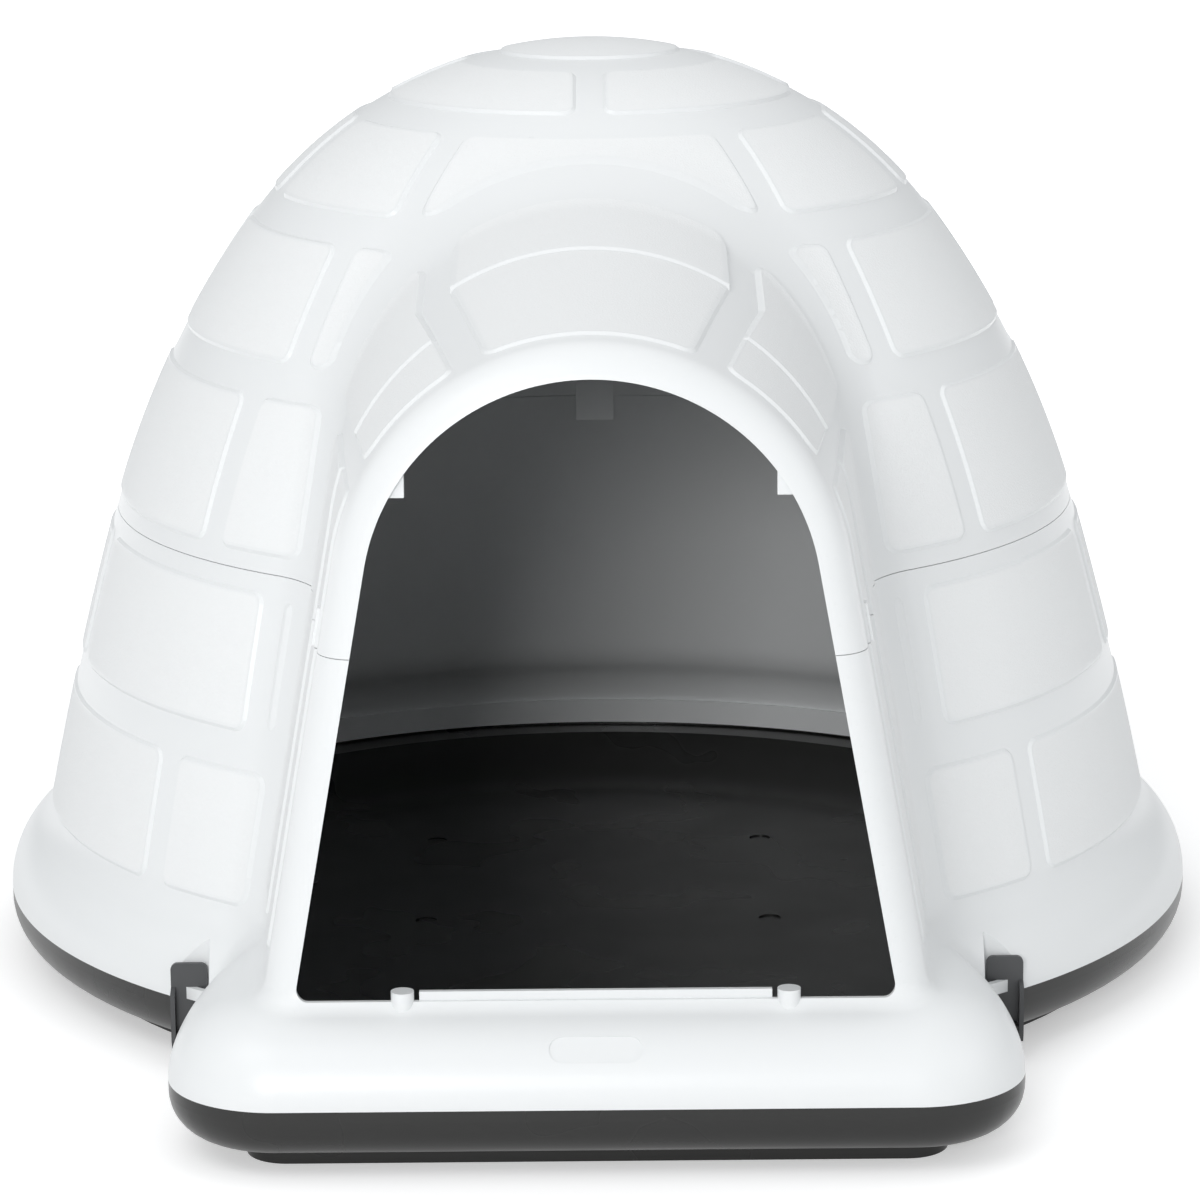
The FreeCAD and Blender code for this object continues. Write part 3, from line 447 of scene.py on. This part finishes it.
DOOR_ARCH_R, DOOR_ARCH_Z, SILL_Z, SILL_CORNER = 155.0, 391.0, 115.0, 8.0
POCKET_WIDTH, POCKET_REACH, POCKET_TOP = 32.0, 72.0, 104.0
CLIP_SIDE, CLIP_WALL, REAR_CLIP_WALL, REAR_CLIP_ANGLE = 299.0, 355.0, 451.0, math.radians(135)
WINDOW_WIDTH, WINDOW_LOW, WINDOW_HIGH = 15.0, 61.7, 71.0
LABEL_LENGTH, LABEL_WIDTH, LABEL_DEPTH, LABEL_SLOPE = 64.0, 19.0, 1.2, math.radians(50)
TONGUE_DEPTH, TONGUE_HEIGHT, TONGUE_ROOT = 2.3, 8.0, 6.0
LIP_OUTSIDE, LIP_THICK, LIP_LOW, LIP_TOP, LIP_ROOT = 4.6, 3.4, 40.0, 61.0, 3.0
POST_SIDE, POST_R, POST_TOP = 132.5, 8.0, 122.0
SILL_LIP_SIDE, SILL_LIP_TOP = 121.0, 121.0
STOP_SIDE, STOP_HALF, STOP_LOW, STOP_TOP = 130.5, 5.5, 466.0, 484.0
STOP_SETBACK, STOP_DEPTH = 5.0, 9.0
BACK_SNAP_HALF, BACK_SNAP_THICK, BACK_SNAP_LOW, BACK_SNAP_TOP = 16.5, 3.5, 342.5, 377.5
BACK_SNAP_GAP, BACK_SNAP_REACH, TONGUE_ROOM = 0.7, 6.0, 1.0
SIDE_SNAP_Y, SIDE_SNAP_HALF, SIDE_SNAP_HEIGHT, SIDE_SNAP_PROUD = 512.0, 5.0, 26.0, 4.0
SIDE_SNAP_ROOT = 1.0
SILL_ROOT, SILL_LIP_SETBACK, LIP_WELD, LIP_POCKET_GAP = 8.0, 1.0, 1.0, 0.5
# Sides or steps of the round outlines, and the turn of the porch's waisted flanks.
ARCH_STEPS, SILL_STEPS, CORNER_STEPS, FLANK_STEPS = 96, 8, 16, 24
DISC_SIDES, POST_SIDES, FLANK_TURN = 240, 32, math.radians(42)
# How far cutters and bands run past what they cut.
DOOR_CUT_FRONT, DOOR_CUT_BACK, WINDOW_CUT_OUT, WINDOW_CUT_IN = 30.0, 40.0, 1.0, 2.0
LABEL_CUT, LIP_CUT, BAND_MARGIN, BEYOND = 10.0, 5.0, 12.0, 900.0
# A vertex this close to the outside belongs to it; block depths are kept up to a limit.
SKIN_TOLERANCE, DEPTH_LIMIT = 0.6, 10.0


def arc_points(centre, radius, start, end, count):
    """Points on an arc, angles in radians."""
    turns = [start + (end - start) * i / count for i in range(count + 1)]
    return [(centre[0] + radius * math.cos(t), centre[1] + radius * math.sin(t)) for t in turns]


def door_outline():
    """Opening seen from the front: arch, leaning jambs and a sill with round corners."""
    arch = arc_points((0, DOOR_ARCH_Z), DOOR_ARCH_R, JAMB_LEAN, math.pi - JAMB_LEAN, ARCH_STEPS)
    foot = DOOR_ARCH_R / math.cos(JAMB_LEAN) + (DOOR_ARCH_Z - SILL_Z) * math.tan(JAMB_LEAN)
    bend = math.pi / 2 - JAMB_LEAN
    reach = SILL_CORNER / math.tan(bend / 2)
    centre = (foot - reach, SILL_Z + SILL_CORNER)
    right = arc_points(centre, SILL_CORNER, -math.pi / 2, -math.pi / 2 + math.pi - bend, SILL_STEPS)
    left = [(-x, z) for x, z in reversed(right)]
    return right + arch + left


def turned(piece, x, y, angle):
    """Moves a tool from the frame of a clip pocket to its site."""
    place = Matrix.Rotation(angle, 4, "Z") @ Matrix.Translation((x * MM, y * MM, 0))
    piece.data.transform(place)
    return piece


def at_pockets(low, high):
    """The same block at all four clip pockets; -Y points outwards, the origin is on the back wall."""
    tools = []
    for side in (-1, 1):
        tools.append(turned(block("pocket", low, high), side * CLIP_SIDE, -CLIP_WALL, 0))
        tools.append(turned(block("pocket", low, high), 0, -REAR_CLIP_WALL, side * REAR_CLIP_ANGLE))
    return tools


def pocket_rooms(grow, top):
    """The rooms of the four clip pockets, grown sideways and inwards."""
    half = POCKET_WIDTH / 2 + grow
    return at_pockets((-half, -POCKET_REACH, 0), (half, grow, top))


def level(low, high):
    """Everything between two heights."""
    return block("level", (-BEYOND, -BEYOND, low), (BEYOND, BEYOND, high))


def label_tool():
    """Cutter for the bare obround recess on the porch shoulder."""
    radius = LABEL_WIDTH / 2
    half = LABEL_LENGTH / 2 - radius
    ends = arc_points((half, 0), radius, -math.pi / 2, math.pi / 2, CORNER_STEPS)
    ends += arc_points((-half, 0), radius, math.pi / 2, 1.5 * math.pi, CORNER_STEPS)
    tool = prism("label", ends, 2, -LABEL_DEPTH, LABEL_CUT)
    y = SKIRT_ROUND - PORCH_FRONT - SKIRT_ROUND * math.sin(LABEL_SLOPE)
    z = RIM_Z + SKIRT_ROUND * math.cos(LABEL_SLOPE)
    tool.data.transform(Matrix.Translation((0, y * MM, z * MM)) @ Matrix.Rotation(LABEL_SLOPE, 4, "X"))
    return tool


def footprint(inset, low, high):
    """Plan of skirt and porch, set in, between two heights."""
    circle = arc_points((0, 0), SKIRT_R - inset, 0, 2 * math.pi, DISC_SIDES)[:-1]
    disc = prism("disc", circle, 2, low, high)
    corner_at = (PORCH_HALF - PORCH_CORNER, PORCH_CORNER - PORCH_FRONT)
    corner = arc_points(corner_at, PORCH_CORNER - inset, -math.pi / 2, 0, CORNER_STEPS)
    waist_at = (PORCH_HALF - PORCH_WAIST, PORCH_CORNER - PORCH_FRONT)
    side = arc_points(waist_at, PORCH_WAIST - inset, 0, FLANK_TURN, FLANK_STEPS)
    right = corner + side[1:]
    porch = prism("porch", right + [(-x, y) for x, y in reversed(right)], 2, low, high)
    return combine(disc, "UNION", [porch])


def lower_lip():
    """Lip under the lower shell's edge, inside the pan's rim, with the flange that carries it."""
    inside_form = footprint(LIP_OUTSIDE + LIP_THICK, LIP_LOW - LIP_CUT, LIP_TOP + LIP_CUT)
    flange = footprint(LIP_ROOT, RIM_Z, LIP_TOP)
    lip = combine(footprint(LIP_OUTSIDE, LIP_LOW, RIM_Z + LIP_WELD), "UNION", [flange])
    return combine(lip, "DIFFERENCE", [inside_form] + pocket_rooms(WALL + LIP_POCKET_GAP, RIM_Z))


def smooth_band(inset, low, high):
    """Mesh of the shells' form without its blocks, from below one height to above another."""
    return surface_mesh(inset, False, BAND_CELL, low - BAND_MARGIN, high + BAND_MARGIN)


def seam_band(inset, low, high):
    """Solid band of the shells' form at the seam, set in from the outside."""
    band = mesh_object("band", *smooth_band(inset, low, high))
    return combine(band, "INTERSECT", [level(low, high)])


def sill_fittings():
    """Door posts on the sill and the lip between them."""
    parts = []
    for side in (-1, 1):
        ring = arc_points((side * POST_SIDE, -TUNNEL_FRONT), POST_R, 0, 2 * math.pi, POST_SIDES)[:-1]
        parts.append(prism("post", ring, 2, SILL_Z - SILL_ROOT, POST_TOP))
    front = -TUNNEL_FRONT + SILL_LIP_SETBACK
    parts.append(block("sill_lip", (-SILL_LIP_SIDE, front, SILL_Z - SILL_ROOT),
                       (SILL_LIP_SIDE, front + WALL, SILL_LIP_TOP)))
    return parts


def back_snap():
    """Snap tab at the back of the seam: hangs inside the lower shell, rooted through the upper's wall."""
    centre, radius = ARCS[0][0], ARCS[0][1]
    free = SEAM_Z + TONGUE_HEIGHT + TONGUE_ROOM
    outside = centre[0] + math.sqrt(radius ** 2 - (free - centre[1]) ** 2)
    face = outside - WALL / math.cos(WALL_LEAN) - BACK_SNAP_GAP
    hanging = block("snap", (-BACK_SNAP_HALF, face - BACK_SNAP_THICK, BACK_SNAP_LOW),
                    (BACK_SNAP_HALF, face, BACK_SNAP_TOP))
    root = block("snap_root", (-BACK_SNAP_HALF, face - BACK_SNAP_THICK, free),
                 (BACK_SNAP_HALF, face + BACK_SNAP_REACH, BACK_SNAP_TOP))
    return combine(hanging, "UNION", [root])


def door_stops():
    """Pegs that a door would rest against, behind the arch's rim."""
    front = -TUNNEL_FRONT + STOP_SETBACK
    return [block("stop", (side * STOP_SIDE - STOP_HALF, front, STOP_LOW),
                  (side * STOP_SIDE + STOP_HALF, front + STOP_DEPTH, STOP_TOP)) for side in (-1, 1)]


def side_snaps():
    """Snap bosses on the flanks of the tunnel, just above the seam."""
    low, high = SEAM_Z + SEAM_GAP, SEAM_Z + SEAM_GAP + SIDE_SNAP_HEIGHT
    skin = mesh_object("boss", *smooth_band(-SIDE_SNAP_PROUD, low, high))
    zone = block("zone", (-BEYOND, -SIDE_SNAP_Y - SIDE_SNAP_HALF, low),
                 (BEYOND, -SIDE_SNAP_Y + SIDE_SNAP_HALF, high))
    skin = combine(skin, "INTERSECT", [zone])
    core = mesh_object("core", *smooth_band(SIDE_SNAP_ROOT, low, high))
    return combine(skin, "DIFFERENCE", [core])


def dress_surface(piece, material):
    """Smooth shading with crisp edges; notes in each vertex how many millimetres inside a block it is."""
    mesh = piece.data
    points = np.empty(3 * len(mesh.vertices))
    mesh.vertices.foreach_get("co", points)
    points = points.reshape(-1, 3) / MM
    on_skin = np.abs(shell_field(points, 0.0, True)[0]) < SKIN_TOLERANCE
    depth = np.minimum(edges_at(points, 0), np.abs(edges_at(points, 1)))
    layer = mesh.attributes.new("block_depth", "FLOAT", "POINT")
    depth = np.where(on_skin, np.clip(depth, -DEPTH_LIMIT, DEPTH_LIMIT), -DEPTH_LIMIT)
    layer.data.foreach_set("value", depth.astype(np.float32))
    mesh.materials.clear()
    mesh.materials.append(material)
    mesh.polygons.foreach_set("material_index", np.zeros(len(mesh.polygons), np.int32))
    mesh.shade_smooth()
    mesh.set_sharp_from_angle(angle=SHARP_ANGLE)


def white_shells(material):
    """Upper and lower shell: thin walls round the same smooth form, split at the seam."""
    outer = mesh_object("outer", *surface_mesh(0.0, True, SKIN_CELL))
    inner = mesh_object("inner", *surface_mesh(WALL, False, INNER_CELL))
    door = prism("door", door_outline(), 1, -TUNNEL_FRONT - DOOR_CUT_FRONT, -TUNNEL_FRONT + DOOR_CUT_BACK)
    tongue = seam_band(TONGUE_DEPTH, SEAM_Z - TONGUE_ROOT, SEAM_Z + TONGUE_HEIGHT)
    combine(tongue, "DIFFERENCE", [inner, door], keep=True)
    groove = seam_band(TONGUE_DEPTH - SEAM_GAP, SEAM_Z, SEAM_Z + TONGUE_HEIGHT + SEAM_GAP)
    inner = combine(inner, "DIFFERENCE", pocket_rooms(WALL, POCKET_TOP))
    windows = at_pockets((-WINDOW_WIDTH / 2, -WINDOW_CUT_OUT, WINDOW_LOW),
                         (WINDOW_WIDTH / 2, WALL + WINDOW_CUT_IN, WINDOW_HIGH))
    room = combine(inner, "UNION", [door, label_tool()] + pocket_rooms(0.0, 2 * POCKET_TOP) + windows)
    lower = combine(outer, "DIFFERENCE", [room])

    upper = bpy.data.objects.new("upper", lower.data.copy())
    scene.collection.objects.link(upper)
    combine(lower, "INTERSECT", [level(RIM_Z, SEAM_Z)])
    combine(lower, "UNION", [combine(tongue, "UNION", [lower_lip()] + sill_fittings())])
    combine(upper, "INTERSECT", [level(SEAM_Z + SEAM_GAP, CROWN_Z)])
    combine(upper, "DIFFERENCE", [groove])
    combine(upper, "UNION", [combine(side_snaps(), "UNION", [back_snap()] + door_stops())])
    for piece, name in ((upper, "upper_shell"), (lower, "lower_shell")):
        piece.name = name + "_moulding"
        dress_surface(piece, material)
        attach(piece, "house")
        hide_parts(name)


# ---------------------------------------------------------------- materials

# White plastic: colours and roughness in the grooves and on the blocks, and where the grain starts.
GROOVE_WHITE, BLOCK_WHITE = (0.765, 0.780, 0.785, 1), (0.800, 0.812, 0.815, 1)
GROOVE_ROUGH, BLOCK_ROUGH, WHITE_SPECULAR = 0.34, 0.58, 0.4
GRAIN_STARTS, GRAIN_FULL = 2.0, 4.0  # millimetres inside a block's edge
GRAIN_SCALE, GRAIN_DETAIL, GRAIN_ROUGH, GRAIN_HEIGHT = 620, 3, 0.6, 0.0006
GROOVE_GRAIN, BLOCK_GRAIN = 0.03, 0.55
WHITE_WAVES, WHITE_WAVE, WHITE_WAVE_HEIGHT = 7, 0.25, 0.002
# Charcoal plastic: the roughness wanders between two values as its broad noise does.
CHARCOAL, CHARCOAL_SPECULAR = (0.021, 0.021, 0.0203, 1), 0.36
NOISE_LOW, NOISE_HIGH, PAN_GLOSSY, PAN_DULL = 0.3, 0.7, 0.24, 0.34
PAN_WAVES, PAN_WAVE, PAN_WAVE_HEIGHT = 9, 0.08, 0.001
PAN_GRAIN_SCALE, PAN_GRAIN = 900, 0.12
# Grey plastic.
CLIP_GREY, CLIP_ROUGH, CLIP_GRAIN_SCALE, CLIP_GRAIN = (0.06, 0.062, 0.065, 1), 0.42, 1100, 0.15
FINE_HEIGHT, PLAIN_DETAIL = 0.0003, 2


def new_material(name):
    """A material with its nodes, links and surface shader."""
    material = bpy.data.materials.new(name)
    material.use_nodes = True
    nodes = material.node_tree.nodes
    return material, nodes, material.node_tree.links, nodes["Principled BSDF"]


def noise(nodes, links, scale, detail=PLAIN_DETAIL, rough=0.5):
    """Noise fixed to the object, from 0 to 1."""
    place = nodes.new("ShaderNodeTexCoord")
    texture = nodes.new("ShaderNodeTexNoise")
    texture.inputs["Scale"].default_value = scale
    texture.inputs["Detail"].default_value = detail
    texture.inputs["Roughness"].default_value = rough
    links.new(place.outputs["Object"], texture.inputs["Vector"])
    return texture.outputs["Fac"]


def spread(nodes, links, value, low, high, to_low, to_high):
    """Maps one range of a value onto another, held at its ends."""
    spread_node = nodes.new("ShaderNodeMapRange")
    for name, number in (("From Min", low), ("From Max", high), ("To Min", to_low), ("To Max", to_high)):
        spread_node.inputs[name].default_value = number
    links.new(value, spread_node.inputs["Value"])
    return spread_node.outputs["Result"]


def bump(nodes, links, height, strength, distance, below=None):
    """Normal of a bump whose strength is a number or another value, on top of the one below."""
    bump_node = nodes.new("ShaderNodeBump")
    bump_node.inputs["Distance"].default_value = distance
    if isinstance(strength, float):
        bump_node.inputs["Strength"].default_value = strength
    else:
        links.new(strength, bump_node.inputs["Strength"])
    links.new(height, bump_node.inputs["Height"])
    if below:
        links.new(below, bump_node.inputs["Normal"])
    return bump_node.outputs["Normal"]


def tint(nodes, links, factor, first, second):
    """Mix of two colours."""
    mix = nodes.new("ShaderNodeMix")
    mix.data_type = "RGBA"
    mix.inputs["A"].default_value = first
    mix.inputs["B"].default_value = second
    links.new(factor, mix.inputs["Factor"])
    return mix.outputs["Result"]


def white_plastic():
    """Satin white moulding: smooth grooves, and a fine spark-eroded grain on the blocks."""
    material, nodes, links, surface = new_material("shell_white")
    depth = nodes.new("ShaderNodeAttribute")
    depth.attribute_name = "block_depth"
    grainy = spread(nodes, links, depth.outputs["Fac"], GRAIN_STARTS, GRAIN_FULL, 0.0, 1.0)
    fine = noise(nodes, links, GRAIN_SCALE, GRAIN_DETAIL, GRAIN_ROUGH)
    broad = noise(nodes, links, WHITE_WAVES)
    links.new(tint(nodes, links, grainy, GROOVE_WHITE, BLOCK_WHITE), surface.inputs["Base Color"])
    links.new(spread(nodes, links, grainy, 0, 1, GROOVE_ROUGH, BLOCK_ROUGH), surface.inputs["Roughness"])
    surface.inputs["Specular IOR Level"].default_value = WHITE_SPECULAR
    waviness = bump(nodes, links, broad, WHITE_WAVE, WHITE_WAVE_HEIGHT)
    strength = spread(nodes, links, grainy, 0, 1, GROOVE_GRAIN, BLOCK_GRAIN)
    links.new(bump(nodes, links, fine, strength, GRAIN_HEIGHT, waviness), surface.inputs["Normal"])
    return material


def charcoal_plastic():
    """Glossy charcoal moulding with the faint unevenness of a large flat panel."""
    material, nodes, links, surface = new_material("pan_charcoal")
    surface.inputs["Base Color"].default_value = CHARCOAL
    surface.inputs["Specular IOR Level"].default_value = CHARCOAL_SPECULAR
    broad = noise(nodes, links, PAN_WAVES)
    fine = noise(nodes, links, PAN_GRAIN_SCALE)
    rough = spread(nodes, links, broad, NOISE_LOW, NOISE_HIGH, PAN_GLOSSY, PAN_DULL)
    links.new(rough, surface.inputs["Roughness"])
    waviness = bump(nodes, links, broad, PAN_WAVE, PAN_WAVE_HEIGHT)
    links.new(bump(nodes, links, fine, PAN_GRAIN, FINE_HEIGHT, waviness), surface.inputs["Normal"])
    return material


def grey_plastic():
    """Satin grey of the pivoting clips."""
    material, nodes, links, surface = new_material("clip_grey")
    surface.inputs["Base Color"].default_value = CLIP_GREY
    surface.inputs["Roughness"].default_value = CLIP_ROUGH
    fine = noise(nodes, links, CLIP_GRAIN_SCALE)
    links.new(bump(nodes, links, fine, CLIP_GRAIN, FINE_HEIGHT), surface.inputs["Normal"])
    return material


def dress(node, material):
    """Gives a CAD piece its material."""
    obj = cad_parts[node]
    obj.data.materials.clear()
    obj.data.materials.append(material)


# ---------------------------------------------------------------- stage, light and camera
# Lengths from here on are in metres.

WHITE = (1, 1, 1, 1)
FLOOR_REACH, FLOOR_WHITE, FLOOR_ROUGH, FLOOR_SPECULAR = 40.0, (0.86, 0.86, 0.86, 1), 0.9, 0.1
# The floor glows least within SHADOW_REACH of its middle, and fully from SHADOW_FADE times that.
FLOOR_GLOW, SHADOW_REACH, SHADOW_FADE = 0.38, 0.8, 2.5
WORLD_LIGHT, WORLD_LEVEL = (0.97, 0.985, 1.0, 1), 0.62
SENSOR_WIDTH, LENS, SHIFT_X, SHIFT_Y = 36.0, 127.83, 0.0038, -0.0423
CAMERA_PLACE = (0.0136, -3.3421, 1.0500)
CAMERA_FORWARD, CAMERA_UP = (-0.00376, 0.97614, -0.21709), (0.0092, 0.2171, 0.9761)
LAMPS = (  # name, place, what it points at, width, height, watts
    ("key", (-1.5, -2.2, 3.1), (0, 0, 0.3), 2.4, 1.8, 24),
    ("front", (-1.05, -5.2, 1.6), (0, 0, 0.25), 1.3, 0.9, 94),
    ("fill", (3.0, -1.8, 1.6), (0, 0, 0.3), 2.0, 2.0, 11),
    ("top", (0, 0.3, 3.0), (0, 0, 0.3), 2.5, 2.5, 10),
)


def white_floor():
    """Large plane that the camera sees as white, darkened only by the object's shadow."""
    mesh = bpy.data.meshes.new("floor")
    far = FLOOR_REACH
    mesh.from_pydata([(-far, -far, 0), (far, -far, 0), (far, far, 0), (-far, far, 0)], [], [(0, 1, 2, 3)])
    floor = bpy.data.objects.new("floor", mesh)
    scene.collection.objects.link(floor)
    material, nodes, links, surface = new_material("floor_white")
    surface.inputs["Base Color"].default_value = FLOOR_WHITE
    surface.inputs["Roughness"].default_value = FLOOR_ROUGH
    surface.inputs["Specular IOR Level"].default_value = FLOOR_SPECULAR
    place = nodes.new("ShaderNodeTexCoord")
    away = nodes.new("ShaderNodeVectorMath")
    away.operation = "LENGTH"
    links.new(place.outputs["Object"], away.inputs[0])
    fade_end = SHADOW_FADE * SHADOW_REACH
    glow = spread(nodes, links, away.outputs["Value"], SHADOW_REACH, fade_end, FLOOR_GLOW, 1)
    shown = nodes.new("ShaderNodeMath")
    shown.operation = "MULTIPLY"
    links.new(glow, shown.inputs[0])
    links.new(seen_directly(nodes, links), shown.inputs[1])
    surface.inputs["Emission Color"].default_value = WHITE
    links.new(shown.outputs[0], surface.inputs["Emission Strength"])
    mesh.materials.append(material)


def seen_directly(nodes, links):
    """1 for rays from the camera, a mirror or through glass."""
    path = nodes.new("ShaderNodeLightPath")
    total = path.outputs["Is Camera Ray"]
    for name in ("Is Glossy Ray", "Is Transmission Ray"):
        add = nodes.new("ShaderNodeMath")
        add.operation = "ADD"
        add.use_clamp = True
        links.new(total, add.inputs[0])
        links.new(path.outputs[name], add.inputs[1])
        total = add.outputs[0]
    return total


def studio_world():
    """White behind the object, and a soft light from all round."""
    world = bpy.data.worlds.new("studio")
    scene.world = world
    world.use_nodes = True
    nodes, links = world.node_tree.nodes, world.node_tree.links
    nodes.clear()
    out = nodes.new("ShaderNodeOutputWorld")
    seen = nodes.new("ShaderNodeBackground")
    seen.inputs["Color"].default_value = WHITE
    lit = nodes.new("ShaderNodeBackground")
    lit.inputs["Color"].default_value = WORLD_LIGHT
    lit.inputs["Strength"].default_value = WORLD_LEVEL
    mix = nodes.new("ShaderNodeMixShader")
    path = nodes.new("ShaderNodeLightPath")
    links.new(path.outputs["Is Camera Ray"], mix.inputs["Fac"])
    links.new(lit.outputs[0], mix.inputs[1])
    links.new(seen.outputs[0], mix.inputs[2])
    links.new(mix.outputs[0], out.inputs["Surface"])


def area_light(name, place, target, width, height, power):
    """White rectangular lamp that points at a target."""
    data = bpy.data.lights.new(name, "AREA")
    data.shape = "RECTANGLE"
    data.size, data.size_y = width, height
    data.energy = power
    lamp = bpy.data.objects.new(name, data)
    lamp.location = place
    lamp.rotation_euler = (Vector(target) - Vector(place)).to_track_quat("-Z", "Y").to_euler()
    scene.collection.objects.link(lamp)


def photo_camera():
    """The photograph's camera: a long lens a little above the house, looking down at it."""
    data = bpy.data.cameras.new("camera")
    data.sensor_width = SENSOR_WIDTH
    data.lens = LENS
    data.shift_x = SHIFT_X
    data.shift_y = SHIFT_Y
    camera = bpy.data.objects.new("camera", data)
    forward = Vector(CAMERA_FORWARD).normalized()
    right = forward.cross(Vector(CAMERA_UP)).normalized()
    turn = Matrix((right, right.cross(forward), -forward)).transposed()
    camera.matrix_world = Matrix.Translation(CAMERA_PLACE) @ turn.to_4x4()
    scene.collection.objects.link(camera)
    scene.camera = camera


# ---------------------------------------------------------------- the whole scene

white, charcoal, grey = white_plastic(), charcoal_plastic(), grey_plastic()
white_shells(white)
dress("base_pan", charcoal)
for end in ("front", "rear"):
    for side in ("left", "right"):
        dress("%s_%s_clip" % (end, side), grey)

white_floor()
studio_world()
for lamp in LAMPS:
    area_light(*lamp)
photo_camera()
